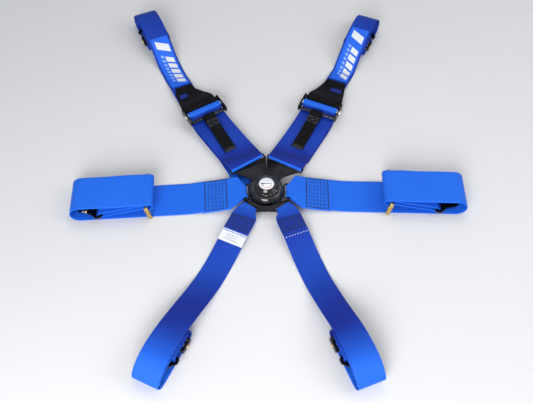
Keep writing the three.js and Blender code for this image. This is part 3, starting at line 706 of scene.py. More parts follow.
def sew(name, node, ribbon, runs, thread, radius=0.32, length=2.5, gap=0.9, lift=0.0):
    """Sewn lines on a ribbon, as a detail of a CAD node."""
    parts = []
    for run in runs:
        spots = np.array([ribbon.on_top(w, a, lift) for w, a in densely(run)])
        total = lengths_along(spots)
        count = max(1, int(round(total[-1] / (length + gap))))
        pitch = total[-1] / count
        for i in range(count):
            along = np.linspace(i * pitch + gap / 2, (i + 1) * pitch - gap / 2, 5)
            parts.append(bead(np.stack([np.interp(along, total, spots[:, k]) for k in range(3)], 1), radius))
    go_with(joined(name, parts, thread, 80), node)


def row(w, a):
    return [(w, -a), (w, a)]


def box_run(w0, w1, a):
    return [(w0, -a), (w0, a), (w1, a), (w1, -a), (w0, -a)]


def crossed_box(w0, w1, a):
    return [box_run(w0, w1, a), [(w0, -a), (w1, a)], [(w0, a), (w1, -a)]]


def zigzag(w0, w1, a0, a1, turns):
    """A zigzag that runs across the webbing from a0 to a1 between two lengths."""
    shares = np.linspace(a0, a1, turns + 1)
    return [(w0 if i % 2 else w1, a) for i, a in enumerate(shares)]


def block(w0, w1, a0, a1):
    return [(w0, a0), (w0, a1), (w1, a1), (w1, a0)]


def slanted_bar(w, lean, width, low, high):
    return [(w, low), (w + lean, high), (w + lean + width, high), (w + width, low)]


def raised_mark(ribbon, corners, height=0.35):
    """A quadrilateral of cloth or embroidery that stands up from a ribbon's top face."""
    rows, columns = 14, 12
    (w0, a0), (w1, a1), (w2, a2), (w3, a3) = corners
    vertices, faces = [], []
    for level in (0, 1):
        for i in range(rows + 1):
            for k in range(columns + 1):
                u, v = i / rows, k / columns
                way = (1 - u) * ((1 - v) * w0 + v * w1) + u * ((1 - v) * w3 + v * w2)
                across = (1 - u) * ((1 - v) * a0 + v * a1) + u * ((1 - v) * a3 + v * a2)
                rim = i in (0, rows) or k in (0, columns)
                up = -0.2 if level == 0 else height * (0.45 if rim else 1.0)
                vertices.append(ribbon.on_top(way, across, up))
    line = columns + 1
    size = line * (rows + 1)
    for a in (i * line + k for i in range(rows) for k in range(columns)):
        b, c, d = a + line, a + line + 1, a + 1
        faces += [[a, b, c, d], [size + a, size + d, size + c, size + b]]
    border = [*range(line), *range(2 * line - 1, size, line), *range(size - 2, rows * line - 1, -1),
              *range((rows - 1) * line, 0, -line)]
    faces += [[a, b, size + b, size + a] for a, b in zip(border, [*border[1:], border[0]])]
    return vertices, faces


def appliqued(name, node, marks, material):
    """Raised marks as a detail of a CAD node, with a flat weave map in millimetres, from above."""
    made = joined(name, marks, material, 60)
    layer = made.data.uv_layers.new(name="weave")
    points = np.array([v.co for v in made.data.vertices]) / MM
    index = np.array([corner.vertex_index for corner in made.data.loops])
    layer.data.foreach_set("uv", points[index][:, :2].astype(np.float32).ravel())
    go_with(made, node)


def tapering(full_left, full_right, tip, half_full, half_tip):
    """Edges that narrow from half_full at the full distances to half_tip at the tip, nearer the start."""

    def half(s, full):
        return half_tip + (half_full - half_tip) * np.clip((s - tip) / (full - tip), 0, 1)

    return lambda s, way: (half(s, full_left), -half(s, full_right))


def hump(s, low, high):
    """1 midway between low and high, falling smoothly to about 0 past them."""
    return np.exp(-(((s - (low + high) / 2) / ((high - low) / 2)) ** 2) * 1.5)


# ---- Buckle ----
def buckle():
    pad = rounded([(0, 0), (27, 0), (28, 0.8), (31, 0.1), (RIM, 3), (RIM, 7), (0, 7)],
                  [0, 0.5, 0.5, 1, 1.5, 0.8, 0])
    solid("rubber_back_pad", "back_pad", [turned(pad)], RUBBER)

    shell = [(12, HOUSING_TOP - 2.5), (27, HOUSING_TOP - 2.5), (29, HOUSING_TOP - 5), (29, HOUSING_BOTTOM),
             (RIM, HOUSING_BOTTOM), (RIM, HOUSING_BOTTOM + 4), (RIM - 2, HOUSING_BOTTOM + 8),
             (RIM - 5, HOUSING_TOP), (12, HOUSING_TOP)]
    profile = loop(shell, [0.4, 0.6, 0.6, 0.4, 0.8, 3, 3, 2.5, 0.4], 6)
    solid("buckle_housing", "housing", [turned(profile, closed=True)], GLOSS, 50)

    hub = HOUSING_TOP + 0.4
    low = HOUSING_BOTTOM + 8.1
    bore, well = 4.2, LABEL_RADIUS + 0.5
    grip_depth, grip_half = 1.35, 5.2

    def scalloped(radius, angle):
        """Twelve finger grips round the rim of the knob."""
        near = abs(math.degrees(angle) % 30 - 15)
        depth = max(0.0, grip_depth * math.cos(math.radians(min(near / grip_half, 1) * 90)))
        return radius - depth * np.clip((radius - KNOB_RADIUS + 3) / 3, 0, 1)

    outline = [(bore, low), (10, low), (10, hub), (KNOB_RADIUS, hub), (KNOB_RADIUS, hub + 3.4),
               (KNOB_RADIUS - 2.5, hub + 5), (20, hub + 6.4), (17.6, KNOB_TOP - 1.2), (16.6, KNOB_TOP),
               (well, KNOB_TOP), (well, KNOB_TOP - 1.6), (bore, KNOB_TOP - 1.6)]
    profile = loop(outline, [0.2, 0.3, 0.3, 0.8, 1.6, 1.5, 1.6, 1.2, 0.7, 0.3, 0.2, 0.2], 5)
    solid("release_knob", "knob", [turned(profile, 360, True, scalloped)], GLOSS, 40)

    top = KNOB_TOP - 0.3
    disc = rounded([(0, top - 1), (LABEL_RADIUS, top - 1), (LABEL_RADIUS, top - 0.25), (0, top)],
                   [0, 0.1, 0.5, 0])
    solid("knob_disc", "knob_label", [turned(disc)], DISC)
    label_marks(top)


def label_marks(top):
    """Generic marks on the disc: a bar with an arrow head, and a curved turning arrow below it."""
    bar, head = (plate(outline, [], top - 0.35, top + 0.08, 0.05, 1) for outline in (
        [(-9.5, -0.8), (10.5, -0.4), (10.5, 0.6), (-9.5, 0.9)], [(-12.8, -0.2), (-5.4, -2.6), (-5.4, 1.4)]))
    go_with(joined("knob_disc_bar", [bar, head], INK), "knob_label")
    curves = [[*arc(0, 0, 9.6, 212, 328, 29), *arc(0, 0, 10.7, 328, 212, 29)]]
    for angle, way in ((208, -1), (332, 1)):
        (tip,), (inside,), (outside,) = (
            arc(0, 0, radius, heading, heading, 0)
            for radius, heading in ((10.15, angle + way * 8), (8.4, angle - way), (11.9, angle - way))
        )
        curves.append([tip, inside, outside][::way])
    parts = [plate(curve, [], top - 0.4, top + 0.05, 0.04, 1) for curve in curves]
    go_with(joined("knob_disc_arc", parts, RED_INK), "knob_label")


def base_plate():
    """The steel drum under the housing, cut by the five tongue mouths: five wall pieces on a floor disc."""
    mouths = [*(SHOULDER[side]["lower"] for side in SIDES), *(LAP[side]["heading"] for side in SIDES)]
    mouths = sorted(heading % 360 for heading in (*mouths, CROTCH_MOUTH))
    floor = rounded([(0, BASE_BOTTOM), (RIM, BASE_BOTTOM), (RIM, BASE_TOP), (0, BASE_TOP)], [0, 0.7, 0.3, 0])
    parts = [turned(floor)]
    outer_cut, inner_cut = (math.degrees(math.asin(MOUTH_HALF / radius)) for radius in (RIM, WALL_INSIDE))
    for a, b in zip(mouths, [*mouths[1:], mouths[0] + 360]):
        outer = arc(0, 0, RIM, a + outer_cut, b - outer_cut, 23)
        if b - inner_cut > a + inner_cut:
            inner = arc(0, 0, WALL_INSIDE, b - inner_cut, a + inner_cut, 5)
        else:
            reach = MOUTH_HALF / math.sin(math.radians((b - a) / 2)) + 0.3
            inner = arc(0, 0, reach, (a + b) / 2, (a + b) / 2, 0)
        parts.append(plate([*outer, *inner], [], BASE_TOP - 0.3, TONGUE_TOP, 0.35, 2))
    solid("buckle_base", "base_plate", parts, BLACK_STEEL)


def internals():
    """The steel pieces inside the buckle keep their CAD shape and get a worn machined finish."""
    for node in ("centre_post", "latch_star", "cam_ring", "return_spring"):
        part = frame["nodes"][node]
        part.data.materials.clear()
        part.data.materials.append(STEEL)


# ---- Tongues ----
WINDOW = rectangle(20, 26, -4.6, 4.6)
LAP_SLOT = 36.5
LAP_SLOT_WIDTH = 5
LAP_HALF = 14.5


def tongue(base, outline, holes, bevel=0.6, heading=0):
    body = plate(outline, holes, TONGUE_BOTTOM, TONGUE_TOP, bevel)
    solid(f"{base}_tongue_plate", f"{base}_tongue", [moved(body, at(turn=heading))], BLACK_STEEL)


def tongue_outline(flange):
    """A tongue's outline: the tip and neck that go into the buckle, and the flange's points between them."""
    return [(TONGUE_TIP, -NECK + 3), (TONGUE_TIP + 3, -NECK), *flange, (TONGUE_TIP + 3, NECK),
            (TONGUE_TIP, NECK - 3)]


def shoulder_tongue(side):
    spec = SHOULDER[side]
    inward = spec["outward"]
    near_middle = (3 * inward, RIM + 1.2)
    (along, aside), inner = turn_points([spec["fold"], near_middle], -spec["lower"])
    half = WIDE / 2 + 0.8
    edge = half + 2.6
    outer = (RIM + 13, 13 * inward)
    waist = (along - 6, aside + inward * (edge - 7))
    low, high = ([inner], [waist, outer]) if side == "left" else ([outer, waist], [inner])
    outline = tongue_outline([
        (RIM + 1, -NECK), *low, (along - 5, aside - edge), (along + 6, aside - edge),
        (along + 8.5, aside - edge + 2.5), (along + 8.5, aside + edge - 2.5), (along + 6, aside + edge),
        (along - 5, aside + edge), *high, (RIM + 1, NECK),
    ])
    slot = rectangle(along - 3.5, along + 2, aside - half, aside + half)
    outline, slot, window = (turn_points(points, spec["lower"]) for points in (outline, slot, WINDOW))
    outline = clip_half_plane(outline, -0.4 * inward, inward)
    slot = clip_half_plane(slot, -3.6 * inward, inward)
    tongue(f"{side}_shoulder", loop(outline, 2.2), [loop(slot, 1.0, 3), loop(window, 0.8, 3)])


def clip_half_plane(points, x, inward):
    """Cuts away what lies beyond x towards the harness's middle."""
    out = []
    for (ax, ay), (bx, by) in zip(points, [*points[1:], points[0]]):
        a_in, b_in = (ax - x) * inward <= 0, (bx - x) * inward <= 0
        if a_in:
            out.append((ax, ay))
        if a_in != b_in:
            out.append((x, ay + (by - ay) * ((x - ax) / (bx - ax))))
    return out


def lap_tongue(side):
    half = LAP_HALF + 1.5
    edge = half + 3
    end = LAP_SLOT + LAP_SLOT_WIDTH + 6
    outline = tongue_outline([
        (RIM - 2, -NECK), (RIM + 1, -edge), (end - 2, -edge), (end, -edge + 3),
        (end, edge - 3), (end - 2, edge), (RIM + 1, edge), (RIM - 2, NECK),
    ])
    slot = rectangle(LAP_SLOT, LAP_SLOT + LAP_SLOT_WIDTH, -half, half)
    tongue(f"{side}_lap", loop(outline, 1.6), [loop(slot, 1, 3), WINDOW], heading=LAP[side]["heading"])


def crotch_tongue():
    def to(side, points):
        x, y = CROTCH[side]["loop"]
        return [(x + px, y + py) for px, py in turn_points(points, CROTCH[side]["at_tongue"])]

    flange = to("right", [(-6.5, 16.5), (-3, 19), (8, 18), (8, -10)])
    right = [(NECK - 3, -TONGUE_TIP), (NECK, -TONGUE_TIP - 3), (NECK, -RIM), *flange, (20, -50),
             (18, -51)]
    left = [(-x, y) for x, y in right][::-1]
    slots = [loop(to(side, rectangle(-3, 2.2, -15, 15)), 1, 3) for side in SIDES]
    tongue("crotch", loop([*right, *left], 1.6), [[(y, -x) for x, y in WINDOW], *slots], 0.7)


# ---- Frames, bars and hooks ----
SLIDE = dict(inner=26.5, cheek=5, height=9, low=-13.5, high=13.5, radius=3, crossbar=5, upper=5, ear=0)
SHOULDER_FRAME = dict(inner=40, cheek=3.5, height=15, low=-23.5, high=22, radius=5.5, crossbar=6.4, upper=7,
                      ear=0)
LAP_FRAME = dict(inner=40, cheek=3.5, height=8, low=-15.5, high=15.5, radius=3.6, crossbar=4.5, upper=4.5,
                 ear=2)
CROSSBAR_HALF = 1.75
HOOK_HALF = 32
HOOK_THICK = 4
CROSSBAR = 5
GATE_PIVOT = (31.6, 12.2)
GATE_REACH = 6.8
GATE_RADIUS = 2.2


def placed_frame(name, node, size, matrix, material, cheek_round):
    """Two stamped cheeks with a hole for the bar, and two crossbars tenoned into them."""
    low, high, ear, h = size["low"], size["high"], size["ear"], size["height"] / 2
    outline = loop(rectangle(low - ear, high + ear, -h, h), cheek_round, 5)
    hole = arc(0, 0, size["radius"] + 0.3, 0, 351, 39)
    cheek = upright(plate(outline, [hole], -size["cheek"] / 2, size["cheek"] / 2))
    parts = [moved(cheek, at(y=sign * (size["inner"] + size["cheek"] / 2))) for sign in (-1, 1)]
    length = size["inner"] + 0.6
    for x0, x1 in ((low, low + size["crossbar"]), (high - size["upper"], high)):
        section = loop(rectangle(x0, x1, -CROSSBAR_HALF, CROSSBAR_HALF), 0.9, 3)
        parts.append(upright(plate(section, [], -length, length, 0.05, 1)))
    solid(name, node, [moved(part, matrix) for part in parts], material)


def placed_bar(name, node, size, overhang, matrix, material):
    """A bar or roller whose ends are turned down where they pass through the cheeks."""
    end = size["inner"] + size["cheek"] + overhang
    ring = size["inner"] + size["cheek"] + 0.45
    full, turned_down = size["radius"], size["radius"] - 0.2
    line = [(0, -end), (turned_down, -end), (turned_down, -ring - 0.7), (full, -ring), (full, ring),
            (turned_down, ring + 0.7), (turned_down, end), (0, end)]
    bar = upright(turned(rounded(line, [0, 0.8, 0.1, 0.1, 0.1, 0.1, 0.8, 0], 3), 48))
    solid(name, node, [moved(bar, matrix)], material)


def hook_parts():
    """A stamped snap hook: a slotted body and a nose whose eye opens on one side, at the gate."""
    eye_x, eye_radius, nose_radius = 34, 9, 17
    mouth_low, mouth_high = 29, 41

    def angle_at(x, radius):
        return math.degrees(math.acos((x - eye_x) / radius))

    nose = arc(eye_x, 0, nose_radius, -75, angle_at(mouth_high, nose_radius), 40)
    eye = arc(eye_x, 0, eye_radius, angle_at(mouth_high, eye_radius),
              angle_at(mouth_low, eye_radius) - 360, 48)
    shoulder = [(22, 21), (12, HOOK_HALF), (4, HOOK_HALF), (0, HOOK_HALF - 4)]
    outline = [*[(x, -y) for x, y in shoulder[::-1]], *nose, *eye, (mouth_low, 19), *shoulder]
    slot = loop(rectangle(CROSSBAR, CROSSBAR + 6.5, -26.5, 26.5), 1.6)
    return [plate(outline, [slot], -HOOK_THICK / 2, HOOK_THICK / 2)]


def gate_parts():
    """The hook's gate, with the rivet that it turns on."""
    x, y = GATE_PIVOT
    arm = plate([*arc(x, y, GATE_RADIUS, 90, 270, 15), *arc(x + GATE_REACH, y, GATE_RADIUS, -90, 90, 15)], [],
                -1.6, 1.6, 0.4, 2)
    top = HOOK_THICK / 2 + 0.9
    head = [(1.6, top - 0.65), (3.6, top - 0.6), (3.0, top), (0, top)]
    profile = rounded([*[(radius, -height) for radius, height in head[::-1]], *head], 0.2, 2)
    return [arm, moved(turned(profile, 36), at(x, y))]


def placed_hook(base, matrix, aside=0):
    fix = matrix @ at(-CROSSBAR / 2, aside)
    for made, node, parts, material in (("hook_plate", "hook", hook_parts(), RUBBED_STEEL),
                                        ("hook_latch", "hook_gate", gate_parts(), ZINC)):
        solid(f"{base}_{made}", f"{base}_{node}", [moved(part, fix) for part in parts], material)


# ---- The rolled end of a 2 inch strap ----
SLIDE_AT = -86
SLIDE_HEIGHT = 16
HOOK_AT = SLIDE_AT + 26
HOOK_HEIGHT = SLIDE_HEIGHT + 1


def wrap_radius(size):
    """From the middle of a bar to the line of the webbing round it."""
    return size["radius"] + GAP + WEB / 2 + 0.1


def rolled_end(end, lead_in):
    """The webbing's line: its lead-in, over and round the roll, then round the slide and hook inside it."""
    over = [(-96, 41.5), (-60, 47.5), (-30, 45), (-9, 33), (-0.9, 18), (-7, 5.4), (-20, 1.4),
            (-34, GROUND)]
    inside = [
        (-60, GROUND), (-88, GROUND), (-104, 3.2), (-112, 11.5), (-109, 23), (-96, 30.5), (-70, 34.5),
        (-40, 36), (-18, 31.5), (-6.8, 20), (-10, 9), (-20, 4.4), (-40, 3.6), (-84, 3.6), (-97, 4.4),
        (-104, 6.4), (-107, 9.6), (-103.5, 11.9), (-96.5, 11.2), (-92.5, 12.2),
    ]
    return [
        *smooth([*lead_in, *shifted(end, over)]),
        *smooth(shifted(end, inside)),
        *arc(end + SLIDE_AT, SLIDE_HEIGHT, wrap_radius(SLIDE), 192, -12),
        *smooth(shifted(end, [(-79.9, 12.1), (-75.5, 11.1), (-69.5, 11.4), (-64.5, 12.6)])),
        *arc(end + HOOK_AT + CROSSBAR / 2 - EDGE_INSET, HOOK_HEIGHT, TURN_REACH + 0.5, -90, 90),
        *smooth(shifted(end, [(-66.5, 21.4), (-74.5, 23.4), (-88.5, 24.2), (-102.5, 23.8)])),
    ]


def rolled_hardware(base, plan, end):
    matrix = plan.place(end + SLIDE_AT, SLIDE_HEIGHT)
    placed_frame(f"{base}_slide_loop", f"{base}_slide_frame", SLIDE, matrix, RUBBED_STEEL, 2.5)
    placed_bar(f"{base}_slide_pin", f"{base}_slide_bar", SLIDE, 1.5, matrix, ZINC)
    placed_hook(base, plan.place(end + HOOK_AT, HOOK_HEIGHT))


# ---- Shoulder straps ----
ADJUSTER_AT = 171
ADJUSTER_HEIGHT = 24
UPPER_FROM = ADJUSTER_AT + 82
FOLD = 2 + EDGE_INSET
FOLD_FROM_MIDDLE = 79
TAB_WIDTH = 26
PATCH_FROM, PATCH_TO = 28, 170


def shoulder_strap(side):
    spec = SHOULDER[side]
    base = f"{side}_shoulder"
    shoulder_tongue(side)
    plan = Plan(spec["fold"], [(125, spec["lower"]), (148, spec["adjuster"]), (200, spec["adjuster"]),
                               (214, spec["connector"]), (244, spec["connector"]), (254, spec["upper"])])
    line = [
        *smooth([(spec["tail"], 3.4), (40, 3.2), (100, 3), (140, 4), (158, 7), (170, 11.5), (176.4, 17.5)]),
        *arc(ADJUSTER_AT, ADJUSTER_HEIGHT, wrap_radius(SHOULDER_FRAME), -10, 190, 24),
        *smooth([(162.3, 20), (157, 17.2), (146, 16.4), (120, 15), (80, 13.4), (40, 14.4), (14, 16.8)]),
        *arc(FOLD, TONGUE_MID, TURN_REACH, 90, 270),
        *smooth([(12, 9.8), (30, 10.8), (50, 11.5), (75, 11.1)]),
    ]
    lower = Ribbon(plan, line, WIDE, left_tail if side == "left" else None, seed=spec["lower_seed"])
    stand_for(lower.mesh(f"{base}_lower_strap", BLUE, tone=lower_painted_light(spec)), f"{base}_lower_webbing")

    matrix = plan.place(ADJUSTER_AT, ADJUSTER_HEIGHT)
    placed_frame(f"{base}_adjuster_body", f"{base}_adjuster_frame", SHOULDER_FRAME, matrix, BLACK_STEEL, 5)
    placed_bar(f"{base}_adjuster_pin", f"{base}_adjuster_roller", SHOULDER_FRAME, 3, matrix, STEEL)
    knurled_strip(base, matrix)
    release_tab(spec, base, plan)
    connector(spec, base, plan)
    upper_strap(spec, base, plan)


def lower_painted_light(spec):
    """Painted highlights where the webbing wraps round the roller, at the tongue's fold and on the loose
    tail, painted shade beside the bar, and a faint painted highlight past it.
    """

    def tone(s, height, way, share):
        # Painted highlights round the roller, at the tongue's fold and on the tail; painted shade beside the
        # bar, a faint painted highlight past it.
        roller = np.clip((s - 158) / 6, 0, 1) * np.clip((height - 22) / 6, 0, 1)
        fold = np.clip((FOLD - 0.4 - s) / 1.6, 0, 1) * (way > 150)
        tail = np.clip((20 - s) / 20, 0, 1) * (way < 70)
        lean = s - 9 * share * spec["outward"]
        hollow_shade = hump(lean, 4, 40) * (way > 150)
        rise_highlight = hump(lean, 45, 120) * (way > 150)
        return np.clip(0.08 + 0.75 * roller + fold + 0.9 * tail - 0.5 * hollow_shade + 0.1 * rise_highlight, -0.6, 1)

    return tone


# Painted shade: the upper straps keep a mostly shaded tone, a little lighter towards their left edge.
def upper_painted_light(s, height, way, share):
    return 0.14 + 0 * s + 0.05 * share


def crotch_painted_light(s, height, way, share):
    """Painted highlights where the strap goes over its roll, near the tongue and along its upper middle, and
    painted shade in the dip between them.
    """
    # Painted light and shade: highlights over the roll, near the tongue and in the upper middle; shade in the
    # dip.
    over = np.clip((s - s.max() + 105) / 75, 0, 1)
    at_tongue = np.clip((34 - s) / 30, 0, 1)
    lit = hump(s + 12 * share, 70, 205)
    hollow_shade = hump(s + 12 * share, 218, 294)
    return np.clip(0.08 + 0.75 * over**1.5 + 0.45 * at_tongue + 0.2 * lit - 0.17 * hollow_shade, -0.4, 1)


def left_tail(s, way):
    """The left strap's loose tail lies askew, so that it shows beside the tongue, and ends in a point."""
    half, askew, askew_to, point_width = WIDE / 2, 5, 50, 2.2
    left_cut, left_slope, right_cut, right_slope = -16, 1.142, 2, 1.443
    shift = np.where(way < 95, askew * np.clip((askew_to - s) / askew_to, 0, 1), 0.0)
    left, right = half + shift, shift - half
    loose = way < 50
    cut = half + 12 - (left_cut - s) * left_slope
    left = np.where(loose & (s < left_cut), np.minimum(cut, left), left)
    cut = (right_cut - s) * right_slope - half
    right = np.where(loose & (s < right_cut), np.maximum(cut, right), right)
    return np.maximum(left, right + point_width), right


def knurled_strip(base, matrix):
    """The knurled stretch of the adjuster's lower crossbar."""
    ridge = plate([(-2.4, -0.45), (2.4, 0.15), (2.4, 0.75), (-2.4, 0.15)], [], 0, 0.5, 0.12, 1)
    low = SHOULDER_FRAME["low"] + 3.2
    parts = [moved(ridge, matrix @ at(low, 14.5 + i * 1.7, CROSSBAR_HALF - 0.1)) for i in range(14)]
    go_with(joined(f"{base}_adjuster_knurl", parts, BLACK_STEEL), f"{base}_adjuster_frame")


def release_tab(spec, base, plan):
    """The pull tab, which hangs on the adjuster's lower crossbar and lies down the strap."""
    bar = ADJUSTER_AT + SHOULDER_FRAME["low"] + SHOULDER_FRAME["crossbar"] / 2
    line = [
        *smooth([(48, 16.8), (70, 17.4), (100, 19), (128, 24), (141, 28.4)]),
        *arc(bar, ADJUSTER_HEIGHT, 4.8, 90, -90),
        *smooth([(bar - 4, 19.4), (bar - 10, 19.2), (bar - 18, 18.6)]),
    ]

    def slanted(s, way):
        middle = spec["tab_end"] + (spec["tab_top"] - spec["tab_end"]) * np.minimum((s - 48) / (bar - 48), 1)
        return middle + TAB_WIDTH / 2, middle - TAB_WIDTH / 2

    ribbon = Ribbon(plan, line, TAB_WIDTH, slanted, thickness=1.4, step=1.8, seed=2.2)
    node = f"{base}_release_tab"
    stand_for(ribbon.mesh(f"{base}_pull_tab", BLACK_WEB), node)
    top = ribbon.way_at(128)
    runs = [row(4, 0.86), row(7, 0.86), *crossed_box(top - 5, top + 8, 0.84)]
    sew(f"{base}_tab_stitches", node, ribbon, runs, GREY_THREAD, 0.28, 2.0, 0.7)
    sew(f"{base}_tab_edge", node, ribbon, [row(0.6, 0.94)], GREY_THREAD, 0.42, 2.2, 0.2)


def connector(spec, base, plan):
    """The black piece between the adjuster and the upper strap, which it narrows to."""
    line = [
        *smooth([(268, 4.4), (254, 4.9), (232, 6.5), (212, 9.6), (200, 12), (190, 13.3)]),
        *arc(186.7, 17, 3.7, 262, 180, 6),
        *arc(186.7, ADJUSTER_HEIGHT, 3.7, 180, 95, 8),
        *smooth([(190, 27.7), (197, 27.4), (206, 24.4), (225, 16.2), (250, 11), (274, 9.8)]),
    ]
    half, left_half, full = NARROW / 2, spec["connector_half"], WIDE / 2 - 1

    def edges(s, way):
        share = np.minimum((258 - s) / (258 - 205), 1)
        return left_half + (full - left_half) * share, -(half + (full - half) * share)

    ribbon = Ribbon(plan, line, 2 * full, edges, seed=0.7)
    node = f"{base}_connector_webbing"
    stand_for(ribbon.mesh(f"{base}_connector_strap", BLACK_WEB, 0.3), node)
    places = (214, 236, 249, 251, 262, 264)
    start, low, high, first, stop, last = (ribbon.way_at(s, first=False) for s in places)
    runs = [*crossed_box(start, stop, 0.86), row(start + 4, 0.78), row(stop - 4, 0.78)]
    sew(f"{base}_connector_stitches", node, ribbon, runs, BLACK_THREAD, 0.3)
    # A window of blue webbing shows the upper strap's end, tacked down by zigzags.
    near, far = spec["window"]
    window = raised_mark(ribbon, block(low, high, near, far), 0.25)
    # With no tone attribute the window takes the painted shaded blue.
    appliqued(f"{base}_blue_window", node, [window], BLUE)
    # Past it the strap's end is folded under, as a raised band.
    band = raised_mark(ribbon, block(first, last, -0.93, 0.93), 0.6)
    appliqued(f"{base}_connector_fold", node, [band], BLACK_WEB)
    pitch = (high - low) / 3
    tacks = [zigzag(low + k * pitch, low + (k + 1) * pitch, near, far, 8) for k in range(3)]
    sew(f"{base}_black_tack", node, ribbon, tacks, BLACK_THREAD, 0.45, 2.2, 0.5, 0.25)


def upper_strap(spec, base, plan):
    upper = Plan(plan.point(UPPER_FROM), [(0, spec["upper"]), (1, spec["upper"])])
    end = spec["end"] - FOLD_FROM_MIDDLE - UPPER_FROM
    lead_in = [(-22, 10.2), (-11, 8.9), (0, 7.8), (26, 7), (48, 3.4), (68, GROUND), (end - 168, 6),
               (end - 132, 26)]
    ribbon = Ribbon(upper, rolled_end(end, lead_in), NARROW, seed=spec["upper_seed"])
    stand_for(ribbon.mesh(f"{base}_upper_strap", BLUE, tone=upper_painted_light), f"{base}_upper_webbing")
    rolled_hardware(base, upper, end)
    patch(base, upper, ribbon)


def patch(base, plan, ribbon):
    """A sewn patch with a merrowed border and a generic mark of slanted bars and blocks."""
    node = f"{base}_patch"
    width = NARROW - 8
    line = ribbon.line_above(ribbon.way_at(PATCH_FROM), ribbon.way_at(PATCH_TO), 90, WEB / 2 + GAP + 0.5)
    cloth = Ribbon(plan, line, width, thickness=1.0, step=1.8, ripple=0.05)
    stand_for(cloth.mesh(f"{base}_patch_cloth", PATCH), node)
    length = cloth.way[-1]
    border = [box_run(1.2, length - 1.2, 1.0 - 1.6 / width)]
    sew(f"{base}_patch_border", node, cloth, border, PATCH_THREAD, 0.5, 1.5, 0.25)
    bars = [slanted_bar(w, 8, 13, -0.78, 0.06) for w in (8, 26, 44, 62, 80)]
    bars.append(slanted_bar(length - 41, 14, 19, -0.78, 0.62))
    ticks = [slanted_bar(w, 3, 6, 0.2, 0.52) for w in np.arange(20, 98, 11.0)]
    for name, marks, height, material in (("bars", bars, 0.35, EMBROIDERY),
                                          ("ticks", ticks, 0.25, PALE_EMBROIDERY)):
        raised = [raised_mark(cloth, mark, height) for mark in marks]
        appliqued(f"{base}_patch_{name}", node, raised, material)


# ---- Lap straps ----
LAP_BAR = (-150, 18)
LAP_PITCH = 80
LAP_HOOK = (-58, 12)
LAP_HOOK_ASIDE = 12
LAP_ROLL_RADIUS = 18
HOOK_LOOP_RADIUS = 4.7


def lap_strap(side):
    spec = LAP[side]
    base = f"{side}_lap"
    end, front = spec["end"], spec["front"]
    plan = Plan((0, 0), [(0, spec["heading"]), (1, spec["heading"])])
    lap_tongue(side)
    turn = LAP_SLOT + LAP_SLOT_WIDTH + EDGE_INSET
    bar = end + LAP_BAR[0]
    run = [(60, 14.6), (80, 11.2), (100, 7.8), (128, 4.6), (150, 1.6), (180, GROUND), (end - 19, GROUND)]
    line = [
        *smooth([(128, 2.1), (100, 5.2), (80, 8.6), (60, 11), (turn + 3, TONGUE_MID - TURN_REACH)]),
        *arc(turn, TONGUE_MID, TURN_REACH, 270, 90),
        *smooth([(turn + 3, TONGUE_MID + TURN_REACH), *run]),
        *arc(end - 19, GROUND + LAP_ROLL_RADIUS, LAP_ROLL_RADIUS, -90, 90, 24),
        *smooth(shifted(end, [(-30, 37.4), (-70, 38.2), (-120, 39), (-146, 38.6)])),
        *arc(bar - 2.5, 30.8, 7.8, 95, 262, 20),
        *arc(bar, LAP_BAR[1], wrap_radius(LAP_FRAME), 78, -80, 20),
        *smooth(shifted(end, [(-153, 12.4), (-157, 11.6)])),
    ]
    sheet = spaced(line, 2.4)
    on_roll = lengths_along(sheet)[(sheet[:, 1] > 2 * LAP_ROLL_RADIUS) & (sheet[:, 0] < end - 15)]

    def sag(way, share):
        """The roll's top sheet hangs between its two ends, most along its front edge."""
        if not on_roll[0] < way < on_roll[-1]:
            return 0.0
        u = (way - on_roll[0]) / (on_roll[-1] - on_roll[0])
        hang = math.sin(math.pi * u) ** 2
        edge = max(0.0, share * front) ** 2
        return hang * (0.5 + 1.3 * edge + 0.5 * math.sin(9 * u + 2 * share * front + front))

    edges = tapering(spec["full_left"], spec["full_right"], turn, WIDE / 2, LAP_HALF)
    ribbon = Ribbon(plan, line, WIDE, edges, seed=spec["seed"], sag=sag)
    # With no tone the lap webbing takes the painted lit blue all over.
    stand_for(ribbon.mesh(f"{base}_strap", BLUE, 0.5), f"{base}_webbing")
    lap_stitches(base, ribbon)

    matrix = plan.place(bar, LAP_BAR[1], LAP_PITCH)
    placed_frame(f"{base}_adjuster_body", f"{base}_adjuster_frame", LAP_FRAME, matrix, ZINC, 3)
    placed_bar(f"{base}_adjuster_pin", f"{base}_adjuster_bar", LAP_FRAME, 1.5, matrix, ZINC)
    hook_loop(base, plan, bar, end, LAP_HOOK_ASIDE * front)


def hook_loop(base, plan, bar, end, aside):
    """The short closed loop of webbing between the lap adjuster's upper crossbar and the hook."""
    reach = LAP_FRAME["high"] - LAP_FRAME["crossbar"] / 2
    pitch = math.radians(LAP_PITCH)
    upper = (bar + 0.7 + reach * math.cos(pitch), LAP_BAR[1] + reach * math.sin(pitch))
    hook_bar = (end + LAP_HOOK[0], LAP_HOOK[1])
    tilt = math.degrees(math.atan2(hook_bar[1] - upper[1], hook_bar[0] - upper[0]))
    line = [*arc(*upper, HOOK_LOOP_RADIUS, tilt + 90, tilt + 270, 16),
            *arc(*hook_bar, HOOK_LOOP_RADIUS, tilt - 90, tilt + 88, 16)]
    line.append(tuple(first * 0.97 + last * 0.03 for first, last in zip(line[0], line[-1])))
    half = NARROW / 2

    def edges(s, way):
        return np.full(len(s), aside + half), np.full(len(s), aside - half)

    ribbon = Ribbon(plan, line, NARROW, edges, seed=2.7)
    # With no tone the hook loop takes the painted lit blue all over.
    stand_for(ribbon.mesh(f"{base}_hook_strap", BLUE), f"{base}_hook_loop")
    placed_hook(base, plan.place(*hook_bar), aside)


